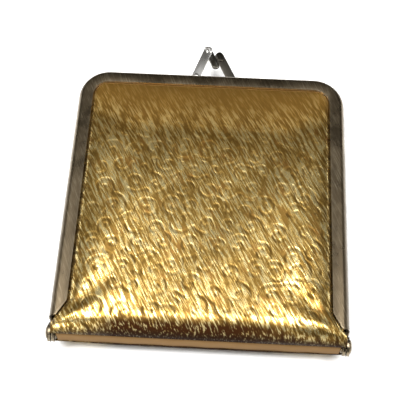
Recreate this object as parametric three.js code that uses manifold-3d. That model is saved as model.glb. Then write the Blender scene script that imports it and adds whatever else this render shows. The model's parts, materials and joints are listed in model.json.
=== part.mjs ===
// Powder compact built like a little book: two padded boards covered in gilt leathercloth, each
// held in a steel snap frame, riveted together at the two spine corners and kept shut by a pair
// of spring arms. Inside are a powder well with its pan, cake and puff, and a mirror in the lid.
//
// Units are millimetres and +Z is up. The compact lies shut on its back cover. X runs along the
// hinge, +Y runs from the spine to the clasp, and the origin is the middle of the underside.

import * as THREE from 'three';
import { mergeVertices } from 'three/addons/utils/BufferGeometryUtils.js';
import Module from 'manifold-3d';

const wasm = await Module();
wasm.setup();

// ---- Driving dimensions -------------------------------------------------------------------

const FRAME_WIDTH = 86;
const FRAME_HEIGHT = 91.5;
const CLASP_RISE = 14;
const THICKNESS = 20;
const SHEET = 0.8;
const SEAM = 0.3;

const CORNER_RADIUS = 10;
const HALF_DEPTH = 6.3;
const SHOULDER_RUN = 2;
const SHOULDER_RISE = 4.3;
const FLANGE = 5.3;

const EAR_RADIUS = 2.7;
const EAR_CLEARANCE = 0.5;
const NECK_RUN = 1.3;
const PIN_RADIUS = 1.2;
const PIN_HOLE_RADIUS = 1.35;
const RIVET_HEAD_RADIUS = 2.2;
const RIVET_HEAD_RISE = 0.86;
const CLINCH_RADIUS = 1.9;
const CLINCH_RISE = 0.45;

const SKIN = 0.6;
const FIT = 0.05;
const BOARD = 1;
const SPINE_SETBACK = 1.4;
const SPINE_HALF_LENGTH = 40.5;
const SPINE_LINING_HALF_LENGTH = 40;
const LINING_SHEET = 0.3;
const ROLL_LENGTH = 6;
const EAR_EDGE_RISE = 5.5;
const CROWN_GAIN = 1.6;
const CROWN_POWER = 0.6;
const CROWN_PRESSED = 0.2;

const WELL_RADIUS = 27;
const MIRROR_HALF_WIDTH = 33;
const MIRROR_HALF_HEIGHT = 34;
const CURVE_STEPS = 6;
const ROUND_STEPS = 36;

// ---- Places worked out from them ----------------------------------------------------------

const MID_Z = THICKNESS / 2;
const HALF_WIDTH = FRAME_WIDTH / 2;
const HINGE_Y = EAR_RADIUS - (FRAME_HEIGHT + CLASP_RISE) / 2;
const TOP_Y = HINGE_Y - EAR_RADIUS + FRAME_HEIGHT;
const SPINE_Y = HINGE_Y - SPINE_SETBACK;
const CENTRE_Y = (SPINE_Y + TOP_Y) / 2;
const WINDOW_HALF_WIDTH = HALF_WIDTH - FLANGE;
const WINDOW_TOP_Y = TOP_Y - FLANGE;
const WINDOW_RADIUS = 5;
const INNER_RADIUS = CORNER_RADIUS - 3;
const LINED_FROM_Y = HINGE_Y + EAR_RADIUS + 0.9;
const FLARE_START_Y = SPINE_Y + 9;
const FLARE_END_Y = SPINE_Y + 2;
const FLARE_HALF_WIDTH = HALF_WIDTH - 1;
const RIM_TOP = HALF_DEPTH - SHEET - FIT;
const RIM_BOTTOM = RIM_TOP - SKIN;
const CREASE_RISE = RIM_BOTTOM;
const BOARD_TOP = RIM_BOTTOM - FIT;
const BOARD_BOTTOM = BOARD_TOP - BOARD;
const INNER_HALF_WIDTH = HALF_WIDTH - SHOULDER_RUN - SHEET - 6 * FIT;
const INNER_TOP_Y = TOP_Y - SHOULDER_RUN - SHEET - 4 * FIT;
const LINING_TOP = BOARD_BOTTOM - FIT;
const PILLOW_TOP = THICKNESS / 2;

// ---- Helpers ------------------------------------------------------------------------------

// A three.js geometry as a manifold solid, with its shared corners merged.
function solid(geometry) {
  const bare = geometry.index ? geometry.toNonIndexed() : geometry.clone();
  bare.deleteAttribute('normal');
  bare.deleteAttribute('uv');
  const merged = mergeVertices(bare, 1e-4);
  const mesh = new wasm.Mesh({
    numProp: 3,
    vertProperties: new Float32Array(merged.attributes.position.array),
    triVerts: new Uint32Array(merged.index.array),
  });
  return new wasm.Manifold(mesh);
}

// A manifold solid back as a three.js geometry.
function toGeometry(manifold) {
  const mesh = manifold.getMesh();
  const geometry = new THREE.BufferGeometry();
  geometry.setAttribute('position', new THREE.BufferAttribute(mesh.vertProperties, 3));
  geometry.setIndex(new THREE.BufferAttribute(mesh.triVerts, 1));
  geometry.computeVertexNormals();
  return geometry;
}

// The same solid on the other side of the middle plane, with its faces still pointing out.
function flipped(manifold) {
  const mesh = manifold.getMesh();
  const position = Float32Array.from(mesh.vertProperties);
  for (let i = 2; i < position.length; i += 3) {
    position[i] = -position[i];
  }
  const index = Uint32Array.from(mesh.triVerts);
  for (let i = 0; i < index.length; i += 3) {
    [index[i], index[i + 1]] = [index[i + 1], index[i]];
  }
  return new wasm.Manifold(new wasm.Mesh({ numProp: 3, vertProperties: position, triVerts: index }));
}

// A box from its lowest to its highest corner.
function box(x0, y0, z0, x1, y1, z1) {
  const geometry = new THREE.BoxGeometry(x1 - x0, y1 - y0, z1 - z0);
  return solid(geometry.translate((x0 + x1) / 2, (y0 + y1) / 2, (z0 + z1) / 2));
}

// A flat plate: an outline drawn in X and Y, standing from z0 to z1.
function plate(shape, z0, z1) {
  const options = { depth: z1 - z0, bevelEnabled: false, curveSegments: CURVE_STEPS };
  return solid(new THREE.ExtrudeGeometry(shape, options).translate(0, 0, z0));
}

// A solid of revolution about a vertical axis at (x, y), from its [radius, z] profile.
function turned(profile, x, y) {
  const points = profile.map(([radius, height]) => new THREE.Vector2(radius, height));
  const geometry = new THREE.LatheGeometry(points, ROUND_STEPS);
  return solid(geometry.rotateX(Math.PI / 2).translate(x, y, 0));
}

// A round bar along X.
function barAlongX(radius, x0, x1, y, z) {
  const geometry = new THREE.CylinderGeometry(radius, radius, x1 - x0, 24);
  return solid(geometry.rotateZ(Math.PI / 2).translate((x0 + x1) / 2, y, z));
}

// A book-board outline: square corners at the spine, rounded ones at the clasp end.
function boardOutline(halfWidth, bottomY, topY, radius) {
  const shape = new THREE.Shape();
  shape.moveTo(-halfWidth, bottomY);
  shape.lineTo(halfWidth, bottomY);
  shape.lineTo(halfWidth, topY - radius);
  shape.absarc(halfWidth - radius, topY - radius, radius, 0, Math.PI / 2, false);
  shape.absarc(radius - halfWidth, topY - radius, radius, Math.PI / 2, Math.PI, false);
  shape.closePath();
  return shape;
}

// A rectangle with four equal rounded corners, about (0, centreY).
function roundedRectangle(halfWidth, halfHeight, radius, centreY) {
  const shape = new THREE.Shape();
  const left = -halfWidth + radius;
  const right = halfWidth - radius;
  const low = centreY - halfHeight + radius;
  const high = centreY + halfHeight - radius;
  shape.absarc(right, low, radius, -Math.PI / 2, 0, false);
  shape.absarc(right, high, radius, 0, Math.PI / 2, false);
  shape.absarc(left, high, radius, Math.PI / 2, Math.PI, false);
  shape.absarc(left, low, radius, Math.PI, Math.PI * 1.5, false);
  shape.closePath();
  return shape;
}

// A strap with round ends, from one point to another.
function strapOutline(from, to, halfWidth) {
  const angle = Math.atan2(to.y - from.y, to.x - from.x);
  const shape = new THREE.Shape();
  shape.absarc(to.x, to.y, halfWidth, angle - Math.PI / 2, angle + Math.PI / 2, false);
  shape.absarc(from.x, from.y, halfWidth, angle + Math.PI / 2, angle + Math.PI * 1.5, false);
  shape.closePath();
  return shape;
}

// The opening in a frame: straight sides that flare out to the hinge ears near the spine.
function windowOutline(inset, bottomY) {
  const halfWidth = WINDOW_HALF_WIDTH - inset;
  const flare = FLARE_HALF_WIDTH - inset;
  const topY = WINDOW_TOP_Y - inset;
  const radius = WINDOW_RADIUS - inset;
  const shape = new THREE.Shape();
  shape.moveTo(-flare, bottomY);
  shape.lineTo(flare, bottomY);
  shape.lineTo(flare, FLARE_END_Y);
  shape.lineTo(halfWidth, FLARE_START_Y);
  shape.lineTo(halfWidth, topY - radius);
  shape.absarc(halfWidth - radius, topY - radius, radius, 0, Math.PI / 2, false);
  shape.absarc(radius - halfWidth, topY - radius, radius, Math.PI / 2, Math.PI, false);
  shape.lineTo(-halfWidth, FLARE_START_Y);
  shape.lineTo(-flare, FLARE_END_Y);
  shape.closePath();
  return shape;
}

// How far along the flare a point is: 0 on the straight sides, 1 at the hinge ears.
function flareAt(y) {
  return THREE.MathUtils.clamp((FLARE_START_Y - y) / (FLARE_START_Y - FLARE_END_Y), 0, 1);
}

// Height of the padded cover above the middle plane. It springs from the window's edge, crowns
// towards the spine, is pressed flat at its highest, and rolls down to a crease at the spine.
function pillowHeight(x, y) {
  const flare = flareAt(y);
  const halfWidth = THREE.MathUtils.lerp(WINDOW_HALF_WIDTH, FLARE_HALF_WIDTH, flare);
  const edge = THREE.MathUtils.lerp(HALF_DEPTH, EAR_EDGE_RISE, flare);
  const across = Math.min(1, Math.abs(x) / halfWidth);
  const along = THREE.MathUtils.clamp((WINDOW_TOP_Y - y) / (WINDOW_TOP_Y - SPINE_Y), 0, 1);
  const rise = Math.min(1, CROWN_GAIN * Math.sin(along * Math.PI / 2) ** CROWN_POWER);
  const crown = Math.sqrt(1 - across ** 4) * rise;
  const full = Math.min(PILLOW_TOP, edge + (PILLOW_TOP - edge + CROWN_PRESSED) * crown);
  const roll = THREE.MathUtils.clamp((y - SPINE_Y) / ROLL_LENGTH, 0, 1);
  const turn = CREASE_RISE + SKIN;
  return turn + (full - turn) * Math.sqrt(1 - (1 - roll) ** 2);
}

// Everything under the padded cover's surface, lowered by a depth, down to a floor.
function underPillow(depth, floor) {
  const columns = 14;
  const rows = 16;
  const rowCrowding = 1.5;
  const lowY = SPINE_Y - 1;
  const height = TOP_Y - lowY;
  const geometry = new THREE.BoxGeometry(2 * HALF_WIDTH, height, 1, columns, rows, 1);
  const position = geometry.attributes.position;
  for (let i = 0; i < position.count; i += 1) {
    const along = THREE.MathUtils.clamp(position.getY(i) / height + 0.5, 0, 1);
    const x = position.getX(i);
    const y = lowY + height * along ** rowCrowding;
    const top = position.getZ(i) > 0;
    position.setXYZ(i, x, y, top ? pillowHeight(x, y) - depth : floor);
  }
  return solid(geometry);
}

// ---- Frames -------------------------------------------------------------------------------

// The closed frame's outside, both halves at once, shrunk by an inset on every side.
function frameBody(inset) {
  const halfWidth = HALF_WIDTH - SHOULDER_RUN - inset;
  const topY = TOP_Y - SHOULDER_RUN - inset;
  const radius = CORNER_RADIUS - SHOULDER_RUN - inset;
  const straight = HALF_DEPTH - SHOULDER_RISE - inset;
  const shape = boardOutline(halfWidth, HINGE_Y - CORNER_RADIUS, topY, radius);
  const geometry = new THREE.ExtrudeGeometry(shape, {
    depth: 2 * straight,
    bevelEnabled: true,
    bevelThickness: SHOULDER_RISE,
    bevelSize: SHOULDER_RUN,
    bevelSegments: 4,
    curveSegments: CURVE_STEPS,
  });
  return solid(geometry.translate(0, 0, -straight));
}

// One half of the pressed steel frame as an open channel, from a starting Y to the clasp end.
function frameChannel(startY) {
  const keep = box(-HALF_WIDTH - 1, startY, SEAM / 2, HALF_WIDTH + 1, TOP_Y + 1, HALF_DEPTH + 1);
  const opening = plate(windowOutline(0, SPINE_Y - 10), SEAM / 2 - 1, HALF_DEPTH + 1);
  return frameBody(0).subtract(frameBody(SHEET)).subtract(opening).intersect(keep);
}

const CLASP_ROOT_Y = TOP_Y + 1.9;
const FRONT_ARM_ROOT = new THREE.Vector2(-5.4, CLASP_ROOT_Y);
const FRONT_ARM_HEAD = new THREE.Vector2(-1.9, TOP_Y + CLASP_RISE - 1.5);
const TONGUE_TIP = new THREE.Vector2(0.7, TOP_Y + 6.9);
const BACK_ARM_ROOT = new THREE.Vector2(6.9, CLASP_ROOT_Y);
const BACK_ARM_HEAD = new THREE.Vector2(3.1, TOP_Y + CLASP_RISE - 2);
const ARM_HALF_WIDTH = 1.5;
const ARM_THICKNESS = 0.9;
const ARM_LOW = 1;
const TONGUE_HALF_WIDTH = 1;
const LIP_HALF_WIDTH = 1.1;
const LIP_RISE = 0.6;
const LIP_START = 0.12;
const LUG_THICKNESS = 0.7;
const LUG_HALF_WIDTH = 1.9;
const LUG_REACH = 3.2;

// The lug that a clasp arm is seated on, standing out of the frame's end wall.
function claspLug(x, z0, z1) {
  return box(x - LUG_HALF_WIDTH, TOP_Y - SHEET / 2, z0, x + LUG_HALF_WIDTH, TOP_Y + LUG_REACH, z1);
}

// The lid's frame: its ears are set inwards, so that they turn inside the base's ears.
function frontFrame() {
  const startY = HINGE_Y + EAR_RADIUS + EAR_CLEARANCE;
  const earOuter = HALF_WIDTH - SHEET - SEAM;
  const earInner = earOuter - SHEET;
  let frame = frameChannel(startY);
  for (const side of [-1, 1]) {
    const x0 = side > 0 ? earInner : -earOuter;
    const x1 = side > 0 ? earOuter : -earInner;
    const jog0 = side > 0 ? earInner : -HALF_WIDTH + FIT;
    const jog1 = side > 0 ? HALF_WIDTH - FIT : -earInner;
    const disc = barAlongX(EAR_RADIUS, x0, x1, HINGE_Y, 0);
    const neck = box(x0, HINGE_Y, SEAM / 2, x1, startY + NECK_RUN, EAR_RADIUS - 0.2);
    const jog = box(jog0, startY + 0.1, SEAM / 2, jog1, startY + NECK_RUN, SHOULDER_RUN);
    frame = frame.add(disc).add(neck).add(jog);
  }
  frame = frame.subtract(barAlongX(PIN_HOLE_RADIUS, -HALF_WIDTH - 1, HALF_WIDTH + 1, HINGE_Y, 0));
  return frame.add(claspLug(FRONT_ARM_ROOT.x, ARM_LOW - LUG_THICKNESS, ARM_LOW - FIT));
}

// The base's frame: its side walls run straight on into the outer ears.
function backFrame() {
  let frame = flipped(frameChannel(HINGE_Y));
  for (const side of [-1, 1]) {
    const x0 = side > 0 ? HALF_WIDTH - SHEET : -HALF_WIDTH;
    const x1 = side > 0 ? HALF_WIDTH : SHEET - HALF_WIDTH;
    frame = frame.add(barAlongX(EAR_RADIUS, x0, x1, HINGE_Y, 0));
  }
  frame = frame.subtract(barAlongX(PIN_HOLE_RADIUS, -HALF_WIDTH - 1, HALF_WIDTH + 1, HINGE_Y, 0));
  const armLow = -ARM_LOW - ARM_THICKNESS;
  return frame.add(claspLug(BACK_ARM_ROOT.x, armLow - LUG_THICKNESS, armLow - FIT));
}

// A hinge rivet: a domed head outside, a shank through both ears, and a clinched inner end.
function hingeRivet(side) {
  const head = HALF_WIDTH + FIT;
  const clinch = HALF_WIDTH - 2 * SHEET - SEAM - FIT;
  const profile = [
    [0, clinch - CLINCH_RISE], [CLINCH_RADIUS - 0.2, clinch - CLINCH_RISE],
    [CLINCH_RADIUS, clinch - CLINCH_RISE / 2], [CLINCH_RADIUS, clinch],
    [PIN_RADIUS, clinch], [PIN_RADIUS, head], [RIVET_HEAD_RADIUS, head],
    [0.95 * RIVET_HEAD_RADIUS, head + 0.4 * RIVET_HEAD_RISE],
    [0.68 * RIVET_HEAD_RADIUS, head + 0.8 * RIVET_HEAD_RISE],
    [0.32 * RIVET_HEAD_RADIUS, head + 0.97 * RIVET_HEAD_RISE], [0, head + RIVET_HEAD_RISE],
  ];
  const points = profile.map(([radius, along]) => new THREE.Vector2(radius, along));
  const geometry = new THREE.LatheGeometry(points, 24).rotateZ(-side * Math.PI / 2);
  return solid(geometry.translate(0, HINGE_Y, 0));
}

// The lid's spring arm: a folded steel strip, with a tongue bent down behind its head.
function frontClaspArm() {
  const outline = strapOutline(FRONT_ARM_ROOT, FRONT_ARM_HEAD, ARM_HALF_WIDTH);
  const bend = strapOutline(FRONT_ARM_HEAD, TONGUE_TIP, TONGUE_HALF_WIDTH);
  const strip = plate(outline, ARM_LOW, ARM_LOW + ARM_THICKNESS);
  return strip.add(plate(bend, ARM_LOW - LUG_THICKNESS, ARM_LOW + FIT));
}

// The base's spring arm: a plain strip with a rolled lip at its head.
function backClaspArm() {
  const outline = strapOutline(BACK_ARM_ROOT, BACK_ARM_HEAD, ARM_HALF_WIDTH);
  const lipRoot = BACK_ARM_HEAD.clone().lerp(BACK_ARM_ROOT, LIP_START);
  const lip = strapOutline(lipRoot, BACK_ARM_HEAD, LIP_HALF_WIDTH);
  const strip = plate(outline, -ARM_LOW - ARM_THICKNESS, -ARM_LOW);
  return strip.add(plate(lip, -ARM_LOW - FIT, LIP_RISE - ARM_LOW));
}

// ---- Covers, padding and boards -----------------------------------------------------------

// The leathercloth skin of one half: a rim clamped under the flange, and the padded crown.
function cover() {
  const outline = boardOutline(INNER_HALF_WIDTH, LINED_FROM_Y - 0.2, INNER_TOP_Y, INNER_RADIUS);
  const rim = plate(outline, RIM_BOTTOM, RIM_TOP);
  const throat = plate(windowOutline(FIT, SPINE_Y), CREASE_RISE, THICKNESS);
  const hollow = plate(windowOutline(FIT + SKIN, SPINE_Y + SKIN), 0, THICKNESS);
  const crown = underPillow(0, CREASE_RISE - 1).intersect(throat);
  const inside = underPillow(SKIN, CREASE_RISE - 3).intersect(hollow);
  return crown.add(rim).subtract(inside);
}

// The wadding between a board and its skin.
function padding() {
  const throat = plate(windowOutline(2 * FIT + SKIN, SPINE_Y + SKIN + FIT), BOARD_TOP + FIT, THICKNESS);
  return underPillow(SKIN + FIT, BOARD_TOP - 1).intersect(throat);
}

// A greyboard panel that stiffens one half.
function board() {
  const gap = 2 * FIT;
  const lowY = SPINE_Y + SKIN + gap;
  const outline = boardOutline(INNER_HALF_WIDTH - gap, lowY, INNER_TOP_Y - gap, INNER_RADIUS);
  return plate(outline, BOARD_BOTTOM, BOARD_TOP);
}

// A strip across the spine, between the two creases.
function spineStrip(halfWidth, outerY, thickness, halfHeight) {
  return box(-halfWidth, outerY, -halfHeight, halfWidth, outerY + thickness, halfHeight);
}

// ---- Powder side --------------------------------------------------------------------------

const DECK_TOP = -0.4;
const DECK_SHEET = 1;
const WELL_FLOOR = -6.7;
const WELL_SHEET = 0.6;
const WELL_WALL = 0.8;
const WELL_CLEARANCE = 0.4;
const TRAY_HALF_WIDTH = HALF_WIDTH - 2.4;
const TRAY_RADIUS = CORNER_RADIUS - 1.6;
const SKIRT_INSET = 1;
const SKIRT_WALL = 0.8;
const SKIRT_BOTTOM = -3.7;
const PAN_FLOOR = WELL_FLOOR + WELL_SHEET + FIT;
const PAN_SHEET = 0.4;
const PAN_CLEARANCE = 0.3;
const PAN_RIM = -1.8;
const CAKE_TOP = -3.1;
const PUFF_TOP = 0.35;
const PUFF_ROUND = 1.4;
const RIBBON_HALF_LENGTH = 23;
const RIBBON_HALF_WIDTH = 5.5;

// A clear hole for the powder well, from a depth upwards.
function wellHole(radius, z0, z1) {
  return turned([[0, z0], [radius, z0], [radius, z1], [0, z1]], 0, CENTRE_Y);
}

// The tray's outline, shrunk by an inset.
function trayOutline(inset) {
  const highY = TOP_Y - SHEET - 0.4 - inset;
  return boardOutline(TRAY_HALF_WIDTH - inset, LINED_FROM_Y + inset, highY, TRAY_RADIUS - inset);
}

// The gilt metal tray: a deck with a skirt and a round well pressed into it.
function powderTray() {
  const deckBottom = DECK_TOP - DECK_SHEET;
  const deck = plate(trayOutline(0), deckBottom, DECK_TOP);
  const skirt = plate(trayOutline(SKIRT_INSET), SKIRT_BOTTOM, DECK_TOP - DECK_SHEET / 2);
  const core = plate(trayOutline(SKIRT_INSET + SKIRT_WALL), SKIRT_BOTTOM - 1, deckBottom);
  const outside = wellHole(WELL_RADIUS + WELL_WALL, WELL_FLOOR, DECK_TOP - DECK_SHEET / 2);
  const inside = wellHole(WELL_RADIUS, WELL_FLOOR + WELL_SHEET, DECK_TOP + 1);
  return deck.add(skirt.subtract(core)).add(outside).subtract(inside);
}

// The thin metal pan that the powder is pressed into.
function powderPan() {
  const outer = WELL_RADIUS - PAN_CLEARANCE;
  const inner = outer - PAN_SHEET;
  return turned([
    [0, PAN_FLOOR], [outer, PAN_FLOOR], [outer, PAN_RIM], [inner, PAN_RIM],
    [inner, PAN_FLOOR + PAN_SHEET], [0, PAN_FLOOR + PAN_SHEET],
  ], 0, CENTRE_Y);
}

// The pressed powder, slightly crowned, with a bevelled edge.
function powderCake() {
  const radius = WELL_RADIUS - PAN_CLEARANCE - PAN_SHEET - 2 * FIT;
  const low = PAN_FLOOR + PAN_SHEET + FIT;
  return turned([
    [0, low], [radius, low], [radius, CAKE_TOP - 0.5],
    [radius - 0.6, CAKE_TOP - 0.2], [radius * 0.6, CAKE_TOP - 0.05], [0, CAKE_TOP],
  ], 0, CENTRE_Y);
}

// The velour puff, with soft round edges.
function puff() {
  const radius = WELL_RADIUS - 1.3;
  const low = CAKE_TOP + 3 * FIT;
  const middle = (low + PUFF_TOP) / 2;
  return turned([
    [0, low], [radius - PUFF_ROUND, low], [radius - 0.3, low + PUFF_ROUND / 2], [radius, middle],
    [radius - 0.3, PUFF_TOP - PUFF_ROUND / 2], [radius - PUFF_ROUND, PUFF_TOP], [0, PUFF_TOP],
  ], 0, CENTRE_Y);
}

// The satin band that a finger slips under, across the puff's back.
function puffRibbon() {
  const low = PUFF_TOP + FIT;
  const lowY = CENTRE_Y - RIBBON_HALF_WIDTH;
  const highY = CENTRE_Y + RIBBON_HALF_WIDTH;
  return box(-RIBBON_HALF_LENGTH, lowY, low, RIBBON_HALF_LENGTH, highY, low + LINING_SHEET);
}

// ---- Mirror side --------------------------------------------------------------------------

const MIRROR_THICKNESS = 1.6;
const MIRROR_RADIUS = 2.4;
const BACKING_THICKNESS = 0.8;
const BACKING_MARGIN = 0.6;
const BEZEL_MARGIN = 1.6;
const BEZEL_SEAT_MARGIN = 0.8;
const BEZEL_OVERLAP = 1.8;
const BEZEL_LIP = 0.7;
const LID_CARD = 0.8;
const MIRROR_LOW = LINING_TOP - BACKING_THICKNESS - MIRROR_THICKNESS - FIT;

// A thin flat panel of the mirror's shape, made bigger by a margin on every side.
function panel(margin, z0, z1) {
  const halfWidth = MIRROR_HALF_WIDTH + margin;
  const halfHeight = MIRROR_HALF_HEIGHT + margin;
  const radius = Math.max(1, MIRROR_RADIUS + margin);
  return plate(roundedRectangle(halfWidth, halfHeight, radius, CENTRE_Y + 1), z0, z1);
}

// The stamped gilt bezel: a side wall round the mirror, and a lip over its edge.
function mirrorBezel() {
  const low = MIRROR_LOW - FIT - BEZEL_LIP;
  const whole = panel(BEZEL_MARGIN, low, LINING_TOP);
  const seat = panel(BEZEL_SEAT_MARGIN, MIRROR_LOW - FIT, LINING_TOP + 1);
  const sight = panel(-BEZEL_OVERLAP, low - 1, LINING_TOP + 1);
  return whole.subtract(seat).subtract(sight);
}

// The moire card that lines the lid round the bezel.
function lidLining() {
  const whole = boardOutline(INNER_HALF_WIDTH, LINED_FROM_Y, INNER_TOP_Y, INNER_RADIUS);
  const hole = panel(BEZEL_MARGIN + 2 * FIT, 0, LINING_TOP + 1);
  return plate(whole, LINING_TOP - LID_CARD, LINING_TOP).subtract(hole);
}

// ---- Assembly -----------------------------------------------------------------------------

const GILT_CLOTH = { color: 0xa9823c, roughness: 0.34, metalness: 0.85 };
const STEEL = { color: 0x6a6258, roughness: 0.32, metalness: 1 };
const BRIGHT_STEEL = { color: 0x8b8983, roughness: 0.25, metalness: 1 };
const GILT_METAL = { color: 0xc39a4a, roughness: 0.25, metalness: 1 };
const TIN = { color: 0xb9b9b4, roughness: 0.35, metalness: 1 };
const WADDING = { color: 0xe9e4d6, roughness: 1, metalness: 0 };
const GREYBOARD = { color: 0x8d8578, roughness: 0.95, metalness: 0 };
const MOIRE = { color: 0x5b3a22, roughness: 0.6, metalness: 0 };
const POWDER = { color: 0xe2b694, roughness: 0.95, metalness: 0 };
const VELOUR = { color: 0xf0d9c6, roughness: 1, metalness: 0 };
const SATIN = { color: 0xe3c3a8, roughness: 0.4, metalness: 0 };
const SILVERED = { color: 0xd8dcde, roughness: 0.02, metalness: 1 };

// The solids are drawn about the middle plane, and each group lifts its own half to its place.
const compact = new THREE.Group();
const base = new THREE.Group();
const lid = new THREE.Group();
base.position.z = MID_Z;
lid.position.z = MID_Z;
compact.add(base, lid);

function place(parent, name, manifold, finish) {
  const mesh = new THREE.Mesh(toGeometry(manifold), new THREE.MeshStandardMaterial(finish));
  mesh.name = name;
  parent.add(mesh);
}

const wellCut = wellHole(WELL_RADIUS + WELL_WALL + WELL_CLEARANCE, WELL_FLOOR - 0.3, MID_Z);
const spineSheet = spineStrip(SPINE_HALF_LENGTH, SPINE_Y, SKIN, CREASE_RISE - SEAM);
const silkY = SPINE_Y + SKIN + FIT;
const spineSilk = spineStrip(SPINE_LINING_HALF_LENGTH, silkY, LINING_SHEET, BOARD_BOTTOM - 0.1);

place(base, 'back_frame', backFrame(), STEEL);
place(base, 'back_cover', flipped(cover()), GILT_CLOTH);
place(base, 'back_padding', flipped(padding()).subtract(wellCut), WADDING);
place(base, 'back_board', flipped(board()).subtract(wellCut), GREYBOARD);
place(base, 'spine_cover', spineSheet, GILT_CLOTH);
place(base, 'spine_lining', spineSilk, MOIRE);
place(base, 'powder_tray', powderTray(), GILT_METAL);
place(base, 'powder_pan', powderPan(), TIN);
place(base, 'powder_cake', powderCake(), POWDER);
place(base, 'puff', puff(), VELOUR);
place(base, 'puff_ribbon', puffRibbon(), SATIN);
place(base, 'back_clasp_arm', backClaspArm(), BRIGHT_STEEL);
place(base, 'hinge_rivet_left', hingeRivet(-1), BRIGHT_STEEL);
place(base, 'hinge_rivet_right', hingeRivet(1), BRIGHT_STEEL);

place(lid, 'front_frame', frontFrame(), STEEL);
place(lid, 'front_cover', cover(), GILT_CLOTH);
place(lid, 'front_padding', padding(), WADDING);
place(lid, 'front_board', board(), GREYBOARD);
place(lid, 'lid_lining', lidLining(), MOIRE);
place(lid, 'mirror_bezel', mirrorBezel(), GILT_METAL);
place(lid, 'mirror_backing', panel(BACKING_MARGIN, LINING_TOP - BACKING_THICKNESS, LINING_TOP), GREYBOARD);
place(lid, 'mirror_glass', panel(0, MIRROR_LOW, MIRROR_LOW + MIRROR_THICKNESS), SILVERED);
place(lid, 'front_clasp_arm', frontClaspArm(), BRIGHT_STEEL);

export default compact;
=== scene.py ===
"""Looks of a book-shaped powder compact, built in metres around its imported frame.

Two padded covers of gilt leathercloth sit in pressed steel frames, which are riveted together at
the two spine corners and snapped shut by a pair of strip arms. The well, the pan, the powder, the
puff and the mirror are inside. X runs along the hinge, +Y from the spine to the clasp, +Z up.
"""

from __future__ import annotations

import json
import logging
import math
from collections.abc import Sequence
from dataclasses import dataclass, field
from enum import Enum

import bpy
import numpy as np
from mathutils import Matrix, Vector


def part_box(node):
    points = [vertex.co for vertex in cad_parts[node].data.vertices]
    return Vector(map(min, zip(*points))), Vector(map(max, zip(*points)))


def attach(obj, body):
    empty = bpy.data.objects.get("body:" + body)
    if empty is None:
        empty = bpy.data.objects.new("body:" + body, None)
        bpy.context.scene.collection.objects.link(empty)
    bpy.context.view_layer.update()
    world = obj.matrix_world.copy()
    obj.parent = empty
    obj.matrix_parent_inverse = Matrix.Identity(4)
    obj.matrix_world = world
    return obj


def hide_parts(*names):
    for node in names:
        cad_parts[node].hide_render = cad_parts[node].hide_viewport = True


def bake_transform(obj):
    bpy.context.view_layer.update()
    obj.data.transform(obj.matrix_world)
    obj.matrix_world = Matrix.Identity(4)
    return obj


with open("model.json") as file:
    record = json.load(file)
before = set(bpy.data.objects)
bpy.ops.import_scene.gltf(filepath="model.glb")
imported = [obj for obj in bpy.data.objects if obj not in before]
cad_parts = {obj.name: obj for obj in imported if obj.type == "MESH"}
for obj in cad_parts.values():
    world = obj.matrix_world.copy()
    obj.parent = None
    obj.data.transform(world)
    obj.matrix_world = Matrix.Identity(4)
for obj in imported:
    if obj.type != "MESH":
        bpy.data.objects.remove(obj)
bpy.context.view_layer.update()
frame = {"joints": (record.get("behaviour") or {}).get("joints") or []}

LOG = logging.getLogger("powder_compact")
MM = 0.001


# ---- Places taken from the frame ----------------------------------------------------------


def joint_place(name: str) -> np.ndarray:
    """Where a joint's axis passes, in millimetres.

    Args:
        name: The joint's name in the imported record.

    Returns:
        The point as three numbers.
    """
    found = next(joint for joint in frame["joints"] if joint["name"] == name)
    return np.array(found["pos_m"]) / MM


def node_box(name: str) -> tuple[np.ndarray, np.ndarray]:
    """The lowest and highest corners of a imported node, in millimetres."""
    low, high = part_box(name)
    return np.array(low) / MM, np.array(high) / MM


ARM_ROOT_REACH = 1.9
HINGE = joint_place("lid_open")
MID_Z = float(HINGE[2])
HINGE_Y = float(HINGE[1])
HALF_WIDTH = float(node_box("back_frame")[1][0])
SPINE_Y = float(node_box("spine_cover")[0][1])
TOP_Y = float(joint_place("front_arm_flex")[1]) - ARM_ROOT_REACH
HALF_DEPTH = float(node_box("front_frame")[1][2]) - MID_Z
PILLOW_TOP = float(node_box("front_cover")[1][2]) - MID_Z

# The pressed frames: their sheet, half the seam between them, and their rounded section.
SHEET = 0.8
SEAM = 0.15
CORNER_RADIUS = 10.0
SHOULDER_RUN = 2.0
SHOULDER_RISE = 4.3
FLANGE = 5.3

# The window that a padded board fills, which flares out to the hinge ears at the spine.
WINDOW_HALF_WIDTH = HALF_WIDTH - FLANGE
WINDOW_TOP_Y = TOP_Y - FLANGE
WINDOW_RADIUS = 5.0
FLARE_START_Y = SPINE_Y + 9.0
FLARE_END_Y = SPINE_Y + 2.0
FLARE_HALF_WIDTH = HALF_WIDTH - 1.0


class Half(Enum):
    """The two halves of the compact, each with the way its cover faces."""

    FRONT = 1
    BACK = -1

    @property
    def body(self) -> str:
        """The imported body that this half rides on."""
        return "lid" if self is Half.FRONT else "base"

    def lift(self, rise: np.ndarray) -> np.ndarray:
        """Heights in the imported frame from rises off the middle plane, on this half's side."""
        return MID_Z + self.value * rise


# ---- Mesh building ------------------------------------------------------------------------


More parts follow.
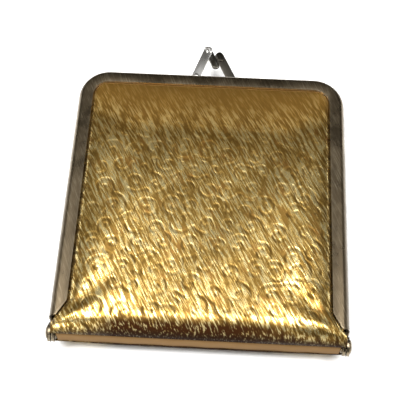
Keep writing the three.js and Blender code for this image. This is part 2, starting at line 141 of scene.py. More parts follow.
@dataclass
class Surface:
    """A mesh under construction: points in millimetres, quads and triangles, and values."""

    points: np.ndarray
    quads: np.ndarray = field(default_factory=lambda: np.zeros((0, 4), int))
    tris: np.ndarray = field(default_factory=lambda: np.zeros((0, 3), int))
    values: dict[str, np.ndarray] = field(default_factory=dict)

    def value(self, name: str) -> np.ndarray:
        """A named value at each point, or nought if the surface doesn't have it."""
        return self.values.get(name, np.zeros(len(self.points)))

    def marked(self, name: str, amount: float) -> Surface:
        """The surface with a named value that is the same at all its points."""
        self.values[name] = np.full(len(self.points), amount)
        return self

    def joined(self, other: Surface) -> Surface:
        """This surface and another as one, each keeping its own points.

        Args:
            other: The surface to add.

        Returns:
            Both together. A value that only one of them has is nought on the other.
        """
        shift = len(self.points)
        values = {
            name: np.concatenate([self.value(name), other.value(name)])
            for name in sorted(set(self.values) | set(other.values))
        }
        return Surface(
            np.concatenate([self.points, other.points]),
            np.concatenate([self.quads, other.quads + shift]),
            np.concatenate([self.tris, other.tris + shift]),
            values,
        )

    def turned_round(self) -> Surface:
        """The same surface with its faces looking the other way."""
        return Surface(self.points, self.quads[:, ::-1], self.tris[:, ::-1], self.values)

    def outward(self) -> Surface:
        """The surface with its faces pointing out, told by the sign of its volume.

        The volume is the sum over the triangles of the box product of their corners, divided
        by six; it is negative when the faces point in.

        Returns:
            This surface, or the same one turned round.
        """
        split = np.concatenate([self.quads[:, [0, 1, 2]], self.quads[:, [0, 2, 3]], self.tris])
        corners = (self.points - self.points.mean(axis=0))[split]
        volume = np.einsum("ij,ij->i", corners[:, 0], np.cross(corners[:, 1], corners[:, 2])).sum()
        return self if volume >= 0 else self.turned_round()


def grid_quads(
    rows: int, columns: int, wrap_rows: bool = False, wrap_columns: bool = False
) -> np.ndarray:
    """The quads of a grid of points numbered row by row.

    Args:
        rows: Number of rows of points.
        columns: Number of points in a row.
        wrap_rows: Whether the last row joins the first.
        wrap_columns: Whether each row's last point joins its first.

    Returns:
        One row of four point numbers for each quad.
    """
    i = np.arange(rows if wrap_rows else rows - 1)[:, None]
    j = np.arange(columns if wrap_columns else columns - 1)[None, :]
    i2, j2 = (i + 1) % rows, (j + 1) % columns
    corners = [i * columns + j, i * columns + j2, i2 * columns + j2, i2 * columns + j]
    return np.stack([np.broadcast_to(c, (i.size, j.size)).ravel() for c in corners], axis=1)


def loft(loops: np.ndarray, wrap: bool = False) -> Surface:
    """A closed solid through closed loops, each with the same number of points.

    Neighbouring loops are joined by quads. Unless the last loop joins the first, the two end
    loops are closed by a fan of triangles round their middles.

    Args:
        loops: Points as loops by points by three.
        wrap: Whether the last loop joins the first, which makes a ring.

    Returns:
        The solid, with its faces pointing out.
    """
    count, around = loops.shape[:2]
    points = loops.reshape(-1, 3)
    quads = grid_quads(count, around, wrap_rows=wrap, wrap_columns=True)
    if wrap:
        return Surface(points, quads).outward()
    middles = np.stack([loops[0].mean(axis=0), loops[-1].mean(axis=0)])
    j = np.arange(around)
    j2 = (j + 1) % around
    last = (count - 1) * around
    first_fan = np.stack([j2, j, np.full(around, count * around)], axis=1)
    last_fan = np.stack([last + j, last + j2, np.full(around, count * around + 1)], axis=1)
    fans = np.concatenate([first_fan, last_fan])
    return Surface(np.concatenate([points, middles]), quads, fans).outward()


def revolve(profile: Sequence[tuple[float, float]], centre: Sequence[float], steps: int = 96) -> Surface:
    """A solid of revolution about a vertical axis.

    Each profile point (radius, height) becomes a circle: x = radius cos, y = radius sin. Points
    on the axis are left to the end fans, so a profile runs from its bottom to its top.

    Args:
        profile: Radius and height pairs off the axis.
        centre: The axis's x and y, and the height that the profile's heights count from.
        steps: Points round each circle.

    Returns:
        The solid.
    """
    turn = np.linspace(0, 2 * np.pi, steps, endpoint=False)
    radius, height = np.array(profile, float).T
    x = centre[0] + radius[:, None] * np.cos(turn)
    y = centre[1] + radius[:, None] * np.sin(turn)
    z = np.broadcast_to(centre[2] + height[:, None], x.shape)
    return loft(np.stack([x, y, z], axis=2))


def rounded_loop(
    half_width: float,
    low_y: float,
    high_y: float,
    low_radius: float,
    high_radius: float,
    steps: int = 14,
    straight: int = 12,
) -> np.ndarray:
    """A closed outline in X and Y: a rectangle whose corners are quarter circles.

    Each corner is a fan of equal angles about its centre, and each side a run of equal steps.

    Args:
        half_width: Half its width about X = 0.
        low_y: Its lowest Y.
        high_y: Its highest Y.
        low_radius: Radius of the two corners at low Y.
        high_radius: Radius of the two corners at high Y.
        steps: Steps in each corner.
        straight: Steps along each side.

    Returns:
        Points by two, counter-clockwise from the low right corner.
    """
    corners = [
        (half_width - low_radius, low_y + low_radius, low_radius, -0.5),
        (half_width - high_radius, high_y - high_radius, high_radius, 0.0),
        (-half_width + high_radius, high_y - high_radius, high_radius, 0.5),
        (-half_width + low_radius, low_y + low_radius, low_radius, 1.0),
    ]
    arcs = []
    for cx, cy, radius, start in corners:
        angle = np.pi * (start + np.linspace(0, 0.5, steps + 1))
        arcs.append(np.stack([cx + radius * np.cos(angle), cy + radius * np.sin(angle)], axis=1))
    pieces = []
    for arc, following in zip(arcs, arcs[1:] + arcs[:1]):
        along = np.linspace(0, 1, straight + 1)[1:-1, None]
        pieces += [arc, arc[-1] + (following[0] - arc[-1]) * along]
    return np.concatenate(pieces)


def box_outline(
    name: str, radii: tuple[float, float], steps: int, straight: int, grow: float = 0.0
) -> np.ndarray:
    """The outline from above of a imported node's box, with rounded corners.

    Args:
        name: The node.
        radii: Radius of the corners at low Y and at high Y.
        steps: Steps in each corner.
        straight: Steps along each side.
        grow: How far it is moved outwards.

    Returns:
        Points by two.
    """
    low, high = node_box(name)
    sides = (float(high[0]) + grow, float(low[1]) - grow, float(high[1]) + grow)
    return rounded_loop(*sides, *radii, steps, straight)


def at_height(loop: np.ndarray, height: float) -> np.ndarray:
    """An outline in X and Y put at a height, as points by three."""
    return np.column_stack([loop, np.full(len(loop), height)])


def shrunk(loop: np.ndarray, inset: float) -> np.ndarray:
    """An outline moved inwards by an inset, along the normal at each of its points.

    The normal is the quarter turn of the line between a point's two neighbours.

    Args:
        loop: The outline in X and Y, counter-clockwise.
        inset: How far it is moved.

    Returns:
        The moved outline.
    """
    along = np.roll(loop, -1, axis=0) - np.roll(loop, 1, axis=0)
    normal = np.stack([-along[:, 1], along[:, 0]], axis=1)
    return loop + inset * normal / np.linalg.norm(normal, axis=1, keepdims=True)


def soft_slab(loop: np.ndarray, low: float, high: float, fillet: float, steps: int = 4) -> Surface:
    """A flat plate of an outline whose top and bottom edges are rounded.

    Going up, the inset of the outline follows a quarter circle of the fillet's radius at the
    bottom edge, stays at nothing up the side, and follows another at the top.

    Args:
        loop: The outline in X and Y.
        low: Its lowest height.
        high: Its highest height.
        fillet: Radius of its edges.
        steps: Steps in each rounding.

    Returns:
        The plate.
    """
    angle = np.linspace(0, np.pi / 2, steps + 1)
    inset = fillet * (1 - np.sin(angle))
    drop = fillet * (1 - np.cos(angle))
    lower = [at_height(shrunk(loop, i), low + d) for i, d in zip(inset, drop)]
    upper = [at_height(shrunk(loop, i), high - d) for i, d in zip(inset[::-1], drop[::-1])]
    return loft(np.stack(lower + upper))


def add_object(
    name: str, surface: Surface, finish: Finish, smooth_angle: float = 40.0
) -> bpy.types.Object:
    """A Blender object of a finished surface, at the origin, with its finish on it.

    Args:
        name: The piece's name.
        surface: Its points in millimetres, its faces and its values.
        finish: What it is finished in.
        smooth_angle: The angle in degrees past which an edge is shown sharp.

    Returns:
        The object.
    """
    mesh = bpy.data.meshes.new(name)
    faces = surface.quads.tolist() + surface.tris.tolist()
    mesh.from_pydata((surface.points * MM).tolist(), [], faces)
    for key, value in surface.values.items():
        attribute = mesh.attributes.new(key, "FLOAT", "POINT")
        attribute.data.foreach_set("value", value.astype(np.float32))
    mesh.polygons.foreach_set("use_smooth", np.ones(len(mesh.polygons), bool))
    mesh.set_sharp_from_angle(angle=math.radians(smooth_angle))
    mesh.materials.append(finish.material())
    piece = bpy.data.objects.new(name, mesh)
    bpy.context.scene.collection.objects.link(piece)
    return piece


def fit_piece(piece: bpy.types.Object, body: str, slot: str, *nodes: str) -> bpy.types.Object:
    """Puts a piece on its body and says which nodes it stands for."""
    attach(piece, body)
    return register_piece(piece, slot, *nodes)


def register_piece(piece: bpy.types.Object, slot: str, *nodes: str) -> bpy.types.Object:
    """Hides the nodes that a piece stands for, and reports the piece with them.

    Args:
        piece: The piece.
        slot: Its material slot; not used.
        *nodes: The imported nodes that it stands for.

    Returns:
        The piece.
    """
    if nodes:
        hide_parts(*nodes)
    faces = len(piece.data.polygons)
    LOG.info("%s: %d faces, for %s", piece.name, faces, ", ".join(nodes) or "detail")
    return piece


# ---- Finishes -----------------------------------------------------------------------------

Colour = tuple[float, float, float]
Socket = bpy.types.NodeSocket
Inputs = dict[str | int, object]


class Nodes:
    """A material's node tree, with short ways to add and join nodes."""

    def __init__(self, name: str) -> None:
        """Starts an empty node material.

        Args:
            name: The material's name.
        """
        self.material = bpy.data.materials.new(name)
        self.material.use_nodes = True
        self.tree = self.material.node_tree
        self.tree.nodes.clear()

    def add(self, kind: str, inputs: Inputs | None = None, **settings: object) -> bpy.types.Node:
        """Adds a node.

        Args:
            kind: Its type without the ShaderNode prefix.
            inputs: Each input's value, or the socket to join to it.
            **settings: The node's own settings.

        Returns:
            The node.
        """
        node = self.tree.nodes.new(f"ShaderNode{kind}")
        for key, value in settings.items():
            setattr(node, key, value)
        for key, value in (inputs or {}).items():
            if isinstance(value, bpy.types.NodeSocket):
                self.tree.links.new(value, node.inputs[key])
            else:
                node.inputs[key].default_value = value
        return node

    def math(self, operation: str, *values: object) -> Socket:
        """The result of a Math node on numbers or sockets."""
        return self.add("Math", dict(enumerate(values)), operation=operation).outputs[0]

    def times(self, first: object, second: object) -> Socket:
        """The product of two numbers or sockets."""
        return self.math("MULTIPLY", first, second)

    def plus(self, first: object, second: object) -> Socket:
        """The sum of two numbers or sockets."""
        return self.math("ADD", first, second)

    def mix(self, share: object, first: object, second: object, blend: str = "MIX") -> Socket:
        """A blend of two colours by a share from 0, all first, to 1, all second."""
        inputs = {0: share, 6: opaque(first), 7: opaque(second)}
        return self.add("Mix", inputs, data_type="RGBA", blend_type=blend).outputs[2]

    def stretch(self, value: object, low: float, high: float, to_low: float, to_high: float) -> Socket:
        """A value carried from one range to another, and held at its ends."""
        inputs = {0: value, 1: low, 2: high, 3: to_low, 4: to_high}
        return self.add("MapRange", inputs).outputs[0]

    def place(self, scale: Sequence[float], turn_degrees: float = 0.0) -> Socket:
        """Object coordinates turned about Z, then scaled on each axis.

        Args:
            scale: Units to the metre on each axis.
            turn_degrees: How far the axes are turned.

        Returns:
            The coordinates.
        """
        coordinates = self.add("TexCoord").outputs["Object"]
        turn = (0.0, 0.0, math.radians(turn_degrees))
        turned = self.add("Mapping", {"Vector": coordinates, "Rotation": turn}).outputs[0]
        return self.add("Mapping", {"Vector": turned, "Scale": tuple(scale)}).outputs[0]

    def noise(
        self,
        cells: float | tuple[float, float, float],
        detail: float,
        roughness: float,
        turn_degrees: float = 0.0,
    ) -> Socket:
        """Fractal noise from 0 to 1.

        Args:
            cells: Its cells to the metre, the same on every axis or one number for each.
            detail: How many finer layers are added.
            roughness: The share of its strength that each finer layer keeps.
            turn_degrees: How far its axes are turned about Z.

        Returns:
            The noise.
        """
        scale = cells if isinstance(cells, tuple) else (cells, cells, cells)
        vector = self.place(scale, turn_degrees)
        inputs = {"Vector": vector, "Scale": 1.0, "Detail": detail, "Roughness": roughness}
        return self.add("TexNoise", inputs).outputs[0]

    def value(self, name: str) -> Socket:
        """A number kept on the mesh's points."""
        return self.add("Attribute", attribute_name=name).outputs["Fac"]

    def bump(
        self, height: Socket, strength: float, distance_mm: float, normal: Socket | None = None
    ) -> Socket:
        """A bumped normal from a height.

        Args:
            height: The height from 0 to 1.
            strength: How strongly it shows.
            distance_mm: What a height of 1 stands for.
            normal: Another bump to lay it over.

        Returns:
            The normal.
        """
        inputs: Inputs = {"Height": height, "Strength": strength, "Distance": distance_mm * MM}
        if normal is not None:
            inputs["Normal"] = normal
        return self.add("Bump", inputs).outputs[0]

    def shade(self, **inputs: object) -> bpy.types.Material:
        """Ends the tree in a Principled shader.

        Args:
            **inputs: The shader's inputs, named in lower case with underscores.

        Returns:
            The material.
        """
        names = {key.replace("_", " ").title(): value for key, value in inputs.items()}
        names = {key.replace("Ior", "IOR"): value for key, value in names.items()}
        shader = self.add("BsdfPrincipled", names)
        self.add("OutputMaterial", {"Surface": shader.outputs[0]})
        return self.material


def opaque(colour: object) -> object:
    """A plain colour with its alpha added, or whatever else was given."""
    return (*colour, 1.0) if isinstance(colour, tuple) and len(colour) == 3 else colour


@dataclass(frozen=True)
class Finish:
    """What a piece is finished in. Each kind wires its own nodes."""

    name: str

    def material(self) -> bpy.types.Material:
        """The finish's material, made the first time it is asked for."""
        found = bpy.data.materials.get(self.name)
        return found if found is not None else self.wire(Nodes(self.name))

    def wire(self, nodes: Nodes) -> bpy.types.Material:
        """Wires the finish's nodes.

        Args:
            nodes: The empty tree to fill.

        Returns:
            The finished material.
        """
        raise NotImplementedError


@dataclass(frozen=True)
class GiltFoil(Finish):
    """Metallic leathercloth: gilt foil with a diagonal hairline grain and dark engraved scrolls.

    Along the roll by the spine the foil is painted brown between the hairlines: a painted dark
    reflection of the room. Towards the clasp the foil is smooth, painted plain and given a painted
    tint. Painted shade darkens its creases and the cloth under the flange.
    """

    shadow: Colour = (0.16, 0.090, 0.018)
    gold: Colour = (0.60, 0.400, 0.120)
    # The pale streaks are partly the foil's own bright grain and partly painted glints.
    pale: Colour = (1.0, 0.82, 0.39)
    # Towards the clasp the foil is painted this plain colour, under the painted tint below.
    plain: Colour = (0.59, 0.358, 0.096)
    painted_tint: Colour = (1.0, 0.82, 0.54)
    rust: Colour = (0.36, 0.17, 0.05)
    engraved: Colour = (0.065, 0.036, 0.008)
    # Painted dark reflection: the brown that stands for the dim room mirrored in the roll.
    painted_dark_reflection_colour: Colour = (0.030, 0.011, 0.0035)
    # Painted shade for the creases and for the cloth under the flange.
    painted_shade_colour: Colour = (0.016, 0.008, 0.004)
    metal: float = 0.96
    grain_degrees: float = 61.0
    grain_height: float = 0.12

    def wire(self, nodes: Nodes) -> bpy.types.Material:
        """Long narrow noise gives the grain; the scrolls' depth on the mesh darkens the lines.

        Args:
            nodes: The empty tree to fill.

        Returns:
            The finished material.
        """
        fine = nodes.noise((240.0, 2400.0, 900.0), 2.0, 0.5, self.grain_degrees)
        broad = nodes.noise((110.0, 900.0, 400.0), 2.0, 0.5, self.grain_degrees + 4.0)
        mottle = nodes.noise(160.0, 3.0, 0.6)
        # Towards the clasp the grain fades, and the colour is painted plain, darker and warmer: a
        # painted reflection of the plain room there.
        calm = nodes.value("calm")
        lively = nodes.stretch(calm, 0.55, 1.0, 1.0, 0.12)
        streak = nodes.plus(nodes.times(fine, 0.62), nodes.times(broad, 0.38))
        relief = nodes.times(streak, lively)
        # Pale streaks on the brightest grain: partly real tone, partly painted glints.
        spark = nodes.stretch(streak, 0.53, 0.57, 0.0, 1.0)
        low = nodes.stretch(streak, 0.465, 0.52, 1.0, 0.0)
        colour = nodes.mix(nodes.times(low, 0.94), self.gold, self.shadow)
        colour = nodes.mix(nodes.times(spark, 0.95), colour, self.pale)
        rusty = nodes.times(nodes.stretch(mottle, 0.52, 0.72, 0.0, 0.4), low)
        colour = nodes.mix(rusty, colour, self.rust)
        colour = nodes.mix(nodes.math("SUBTRACT", 1.0, lively), colour, self.plain)
        colour = nodes.mix(nodes.times(calm, 0.7), colour, self.painted_tint, "MULTIPLY")
        broken = nodes.stretch(streak, 0.54, 0.64, 1.0, 0.75)
        groove = nodes.times(nodes.value("groove"), broken)
        colour = nodes.mix(nodes.times(groove, 0.95), colour, self.engraved)
        # Painted dark reflection along the roll: brown between the gold hairlines that are kept.
        kept = nodes.stretch(fine, 0.54, 0.70, 1.0, 0.6)
        rubbed = nodes.times(nodes.value("rubbed"), kept)
        colour = nodes.mix(rubbed, colour, self.painted_dark_reflection_colour)
        # Painted shade in the creases and under the flange, which also dulls the foil.
        colour = nodes.mix(nodes.value("soil"), colour, self.painted_shade_colour)
        dull = nodes.math("MAXIMUM", rubbed, nodes.value("soil"))
        metal = nodes.stretch(dull, 0.0, 1.0, self.metal, 0.10)
        gloss = nodes.stretch(relief, 0.40, 0.62, 0.36, 0.20)
        rough = nodes.plus(gloss, nodes.times(nodes.math("MAXIMUM", groove, dull), 0.2))
        normal = nodes.bump(relief, 0.6, self.grain_height)
        return nodes.shade(
            base_color=colour,
            metallic=metal,
            roughness=rough,
            normal=normal,
            ior=1.12,
            specular_ior_level=0.0,
        )


@dataclass(frozen=True)
class BrushedSteel(Finish):
    """Pressed steel: fine hairlines, cloudy tarnished tone, bright edges (scuffs and painted
    reflection), painted shade.
    """

    colour: Colour = (0.150, 0.114, 0.070)
    worn_and_painted_bright: Colour = (0.52, 0.45, 0.315)
    roughness: float = 0.30
    grain_degrees: float = 68.0

    def wire(self, nodes: Nodes) -> bpy.types.Material:
        """Long noise gives the hairlines, wide noise the tarnished tone, and mesh values the bright
        edges and the painted flange shade.

        Args:
            nodes: The empty tree to fill.

        Returns:
            The finished material.
        """
        hairline = nodes.noise((220.0, 5200.0, 900.0), 3.0, 0.6, self.grain_degrees)
        cloud = nodes.noise(110.0, 4.0, 0.6)
        dark = tuple(channel * 0.5 for channel in self.colour)
        colour = nodes.mix(nodes.stretch(cloud, 0.38, 0.66, 0.0, 0.6), self.colour, dark)
        colour = nodes.mix(nodes.stretch(hairline, 0.5, 0.75, 0.0, 0.5), colour, self.worn_and_painted_bright)
        # Painted reflection and highlight: the mesh value paints the side walls, the flange's inner rim
        # and the clasp arms bright, with some real scuffs on small parts.
        colour = nodes.mix(nodes.times(nodes.value("wear"), 0.8), colour, self.worn_and_painted_bright)
        # Painted shade on the flanges, deepening towards the spine.
        colour = nodes.mix(nodes.value("tarnish"), colour, dark)
        rough = nodes.stretch(cloud, 0.35, 0.7, self.roughness - 0.06, self.roughness + 0.10)
        normal = nodes.bump(hairline, 0.25, 0.03)
        return nodes.shade(base_color=colour, metallic=1.0, roughness=rough, normal=normal)


@dataclass(frozen=True)
class GiltMetal(Finish):
    """Polished gilt metal, faintly clouded and scratched."""

    colour: Colour = (0.80, 0.58, 0.26)

    def wire(self, nodes: Nodes) -> bpy.types.Material:
        """Two crossed long noises are the scratches, and a wide one the clouding.

        Args:
            nodes: The empty tree to fill.

        Returns:
            The finished material.
        """
        cloud = nodes.noise(140.0, 4.0, 0.6)
        one = nodes.noise((120.0, 5000.0, 900.0), 2.0, 0.5, 25.0)
        other = nodes.noise((120.0, 5000.0, 900.0), 2.0, 0.5, 110.0)
        scratch = nodes.math("MAXIMUM", one, other)
        dull = tuple(channel * 0.72 for channel in self.colour)
        colour = nodes.mix(nodes.stretch(cloud, 0.4, 0.7, 0.0, 0.7), self.colour, dull)
        clouded = nodes.stretch(cloud, 0.35, 0.7, 0.16, 0.30)
        rough = nodes.plus(clouded, nodes.stretch(scratch, 0.6, 0.8, 0.0, 0.15))
        normal = nodes.bump(scratch, 0.12, 0.02)
        return nodes.shade(base_color=colour, metallic=1.0, roughness=rough, normal=normal)


@dataclass(frozen=True)
class TinPan(Finish):
    """Thin drawn tin, finely flecked."""

    colour: Colour = (0.70, 0.70, 0.68)
    fleck: Colour = (0.5, 0.49, 0.47)

    def wire(self, nodes: Nodes) -> bpy.types.Material:
        """Fine even noise flecks the colour, the gloss and the bump.

        Args:
            nodes: The empty tree to fill.

        Returns:
            The finished material.
        """
        flecks = nodes.noise(900.0, 3.0, 0.6)
        colour = nodes.mix(nodes.stretch(flecks, 0.4, 0.7, 0.0, 0.4), self.colour, self.fleck)
        rough = nodes.stretch(flecks, 0.35, 0.7, 0.26, 0.42)
        normal = nodes.bump(flecks, 0.2, 0.03)
        return nodes.shade(base_color=colour, metallic=1.0, roughness=rough, normal=normal)


@dataclass(frozen=True)
class PressedPowder(Finish):
    """Matt pressed face powder, with fine grit and paler dust on its high places."""

    colour: Colour = (0.36, 0.205, 0.125)
    dust: Colour = (0.44, 0.29, 0.20)

    def wire(self, nodes: Nodes) -> bpy.types.Material:
        """Fine noise is the grit, and the relief value on the mesh lays dust on the high places.

        Args:
            nodes: The empty tree to fill.

        Returns:
            The finished material.
        """
        grit = nodes.noise(4200.0, 3.0, 0.7)
        patch = nodes.noise(180.0, 3.0, 0.6)
        dusted = nodes.times(nodes.value("relief"), 0.6)
        share = nodes.plus(dusted, nodes.stretch(patch, 0.4, 0.7, 0.0, 0.4))
        colour = nodes.mix(share, self.colour, self.dust)
        colour = nodes.mix(nodes.stretch(grit, 0.45, 0.7, 0.0, 0.25), colour, self.dust)
        return nodes.shade(base_color=colour, roughness=0.95, normal=nodes.bump(grit, 0.35, 0.08))


@dataclass(frozen=True)
class Velour(Finish):
    """A short dense pile with a soft sheen, brushed in clumps."""

    colour: Colour = (0.27, 0.165, 0.120)
    tip: Colour = (0.40, 0.295, 0.235)

    def wire(self, nodes: Nodes) -> bpy.types.Material:
        """Very fine noise is the pile, and a wider one the clumps it lies in.

        Args:
            nodes: The empty tree to fill.

        Returns:
            The finished material.
        """
        pile = nodes.noise(3800.0, 4.0, 0.75)
        clump = nodes.noise(420.0, 3.0, 0.6)
        colour = nodes.mix(nodes.stretch(pile, 0.35, 0.65, 0.0, 0.8), self.colour, self.tip)
        colour = nodes.mix(nodes.stretch(clump, 0.5, 0.75, 0.0, 0.45), colour, self.colour)
        normal = nodes.bump(pile, 0.9, 0.25, nodes.bump(clump, 0.5, 0.5))
        return nodes.shade(
            base_color=colour, roughness=1.0, normal=normal, sheen_weight=0.15, sheen_roughness=0.5
        )


@dataclass(frozen=True)
class WovenSilk(Finish):
    """Silk with fine ribs, watered or plain."""

    colour: Colour = (0.190, 0.076, 0.064)
    light: Colour = (0.40, 0.225, 0.190)
    watered: float = 1.0

    def wire(self, nodes: Nodes) -> bpy.types.Material:
        """Fast noise drawn out along X is the ribs; contours of a slow noise are the watering.

        Args:
            nodes: The empty tree to fill.

        Returns:
            The finished material.
        """
        rib = nodes.noise((300.0, 4600.0, 4600.0), 1.0, 0.4)
        thread = nodes.noise((4600.0, 900.0, 900.0), 1.0, 0.4)
        slow = nodes.noise((55.0, 150.0, 150.0), 2.0, 0.5)
        contour = nodes.math("PINGPONG", nodes.times(slow, 11.0), 1.0)
        share = nodes.times(nodes.stretch(contour, 0.45, 1.0, 0.0, 0.5), self.watered)
        colour = nodes.mix(share, self.colour, self.light)
        colour = nodes.mix(nodes.stretch(rib, 0.45, 0.65, 0.0, 0.35), colour, self.light)
        height = nodes.plus(rib, nodes.times(thread, 0.5))
        rough = nodes.stretch(share, 0.0, 0.5, 0.48, 0.32)
        normal = nodes.bump(height, 0.4, 0.05)
        return nodes.shade(base_color=colour, roughness=rough, normal=normal, sheen_weight=0.3)


@dataclass(frozen=True)
class Greyboard(Finish):
    """Dull fibrous board."""

    colour: Colour = (0.30, 0.26, 0.21)
    strands: Colour = (0.45, 0.41, 0.35)

    def wire(self, nodes: Nodes) -> bpy.types.Material:
        """Noise drawn out on the slant is the fibres.

        Args:
            nodes: The empty tree to fill.

        Returns:
            The finished material.
        """
        fibre = nodes.noise((900.0, 2600.0, 900.0), 4.0, 0.7, 30.0)
        colour = nodes.mix(nodes.stretch(fibre, 0.4, 0.7, 0.0, 0.5), self.colour, self.strands)
        return nodes.shade(base_color=colour, roughness=0.95, normal=nodes.bump(fibre, 0.3, 0.05))


@dataclass(frozen=True)
class Silvered(Finish):
    """Silvered mirror glass with faint wiped marks."""

    colour: Colour = (0.90, 0.92, 0.92)

    def wire(self, nodes: Nodes) -> bpy.types.Material:
        """Wide noise leaves the wiped marks in the roughness.

        Args:
            nodes: The empty tree to fill.

        Returns:
            The finished material.
        """
        wipe = nodes.noise((60.0, 240.0, 60.0), 3.0, 0.6, 35.0)
        rough = nodes.stretch(wipe, 0.45, 0.75, 0.015, 0.075)
        return nodes.shade(base_color=opaque(self.colour), metallic=1.0, roughness=rough)


@dataclass(frozen=True)
class PaleFloor(Finish):
    """A plain matt pale table top."""

    colour: Colour = (0.93, 0.93, 0.925)
    dim: Colour = (0.90, 0.90, 0.895)

    def wire(self, nodes: Nodes) -> bpy.types.Material:
        """Very faint wide noise keeps it from being dead flat.

        Args:
            nodes: The empty tree to fill.

        Returns:
            The finished material.
        """
        faint = nodes.noise(12.0, 2.0, 0.5)
        colour = nodes.mix(nodes.stretch(faint, 0.3, 0.7, 0.0, 1.0), self.colour, self.dim)
        return nodes.shade(base_color=colour, roughness=0.9)


GILT_CLOTH = GiltFoil("engraved_gilt_foil")
# A painted reflection: the spine's cloth is a darker, duller copy of the gilt foil, coloured for the
# table that the spine mirrors.
SPINE_CLOTH = GiltFoil(
    "painted_dark_gilt_spine",
    shadow=(0.13, 0.075, 0.022),
    gold=(0.17, 0.102, 0.032),
    pale=(0.22, 0.138, 0.050),
    plain=(0.17, 0.102, 0.032),
    metal=0.3,
    grain_degrees=0.0,
    grain_height=0.04,
)
FRAME_STEEL = BrushedSteel("tarnished_frame_steel")
# Painted reflections: the clasp's front arm is a bright copy of the steel and the back arm a dark copy,
# for the bright and dark room that each mirrors.
PAINTED_BRIGHT_STEEL = BrushedSteel(
    "painted_bright_steel", colour=(0.11, 0.10, 0.08), worn_and_painted_bright=(1.0, 0.99, 0.96), roughness=0.30
)
PAINTED_DARK_STEEL = BrushedSteel(
    "painted_dark_steel", colour=(0.055, 0.048, 0.038), worn_and_painted_bright=(0.16, 0.145, 0.12), roughness=0.34
)
GILT_METAL = GiltMetal("polished_gilt")
TIN = TinPan("drawn_tin")
POWDER = PressedPowder("face_powder")
VELOUR = Velour("puff_velour")
SATIN = WovenSilk(
    "satin_weave", colour=(0.34, 0.180, 0.125), light=(0.39, 0.230, 0.165), watered=0.05
)
MOIRE = WovenSilk("watered_silk")
BOARD = Greyboard("fibrous_board")
MIRROR = Silvered("silvered_glass")


# ---- Covers -------------------------------------------------------------------------------


def smooth(value: np.ndarray) -> np.ndarray:
    """Smooth step from 0 to 1: three times the square less twice the cube, held at its ends."""
    held = np.clip(value, 0.0, 1.0)
    return held * held * (3.0 - 2.0 * held)


def soft_least(first: np.ndarray, second: float, blend: float) -> np.ndarray:
    """The lesser of two heights, blended where they are about as close as the blend is wide."""
    return (first + second - np.sqrt((first - second) ** 2 + blend**2)) / 2


def flare_at(y: np.ndarray) -> np.ndarray:
    """How far a place is along the flare: 0 on the straight legs, 1 at the hinge ears."""
    return np.clip((FLARE_START_Y - y) / (FLARE_START_Y - FLARE_END_Y), 0.0, 1.0)


@dataclass
class ScrollPattern:
    """Curls pressed into the cloth, side by side and joined in S-curves.

    Each curl has its own middle and its own hand. The lines run where a phase is a whole turn:
    the phase is the sum over the curls of hand times the angle about the middle, plus the soft
    least distance to a middle divided by the pitch of the turns.
    """

    spacing: float = 7.4
    pitch: float = 2.5
    half_line: float = 0.48
    jitter: float = 1.5
    softness: float = 0.55
    lean_degrees: float = 61.0
    faintest: float = 0.55
    seed: int = 11

    def middles(self) -> np.ndarray:
        """Each curl's middle, on a jittered lattice whose odd rows are set half a step off.

        Returns:
            Rows of X, Y and the hand, which is 1 or -1.
        """
        generator = np.random.default_rng(self.seed)
        column, row = np.meshgrid(np.arange(-7, 8), np.arange(-8, 8))
        x = (column + 0.5 * (row % 2)) * self.spacing
        y = row * self.spacing * 0.87 - 6.0
        places = np.stack([x, y], axis=2) + generator.uniform(-self.jitter, self.jitter, (*x.shape, 2))
        hand = np.where((column + row + (generator.random(x.shape) < 0.18)) % 2 == 0, 1.0, -1.0)
        return np.concatenate([places, hand[..., None]], axis=2).reshape(-1, 3)

    def phase(self, x: np.ndarray, y: np.ndarray) -> np.ndarray:
        """The phase whose whole turns are the lines.

        Args:
            x: Each point's X.
            y: Each point's Y.

        Returns:
            The phase in radians.
        """
        turning = np.zeros_like(x)
        nearness = np.zeros_like(x)
        for centre_x, centre_y, hand in self.middles():
            across, up = x - centre_x, y - centre_y
            turning += hand * np.arctan2(up, across)
            nearness += np.exp(-np.hypot(across, up) / self.softness)
        distance = -self.softness * np.log(nearness + 1e-12)
        return turning + 2 * np.pi * distance / self.pitch

    def depth(self, x: np.ndarray, y: np.ndarray) -> np.ndarray:
        """How deep the lines are at each point of a grid, from 0 to 1.

        The distance to the nearest line is the phase's distance to a whole turn divided by its
        slope, which is worked out from the slopes of its cosine and sine, as those don't jump.
        A line is faint where it runs across the foil's hairlines and deep where it runs along
        them. The lines come and go with a slow wave, and fade out towards the clasp.

        Args:
            x: Each point's X, in rows of equal Y.
            y: Each point's Y.

        Returns:
            The depth.
        """
        phase = self.phase(x, y)
        cosine, sine = np.cos(phase), np.sin(phase)
        step_x, step_y = np.gradient(x, axis=1), np.gradient(y, axis=0)
        slope_x = (cosine * np.gradient(sine, axis=1) - sine * np.gradient(cosine, axis=1)) / step_x
        slope_y = (cosine * np.gradient(sine, axis=0) - sine * np.gradient(cosine, axis=0)) / step_y
        slope = np.hypot(slope_x, slope_y) + 0.05
        distance = np.arccos(np.clip(cosine, -1.0, 1.0)) / slope
        lean = math.radians(self.lean_degrees)
        along = np.abs(slope_x * math.sin(lean) + slope_y * math.cos(lean)) / slope
        share = self.faintest + (1 - self.faintest) * smooth((along - 0.45) / 0.45)
        line = smooth(1.5 - distance / self.half_line) * share
        wave = np.sin(0.83 * x + 1.7 * np.sin(0.31 * y)) * np.sin(0.71 * y + 1.3 * np.sin(0.37 * x))
        come_and_go = smooth(1.1 + 1.2 * wave)
        fade = smooth((WINDOW_TOP_Y - 3.0 - y) / 26.0)
        return line * come_and_go * fade


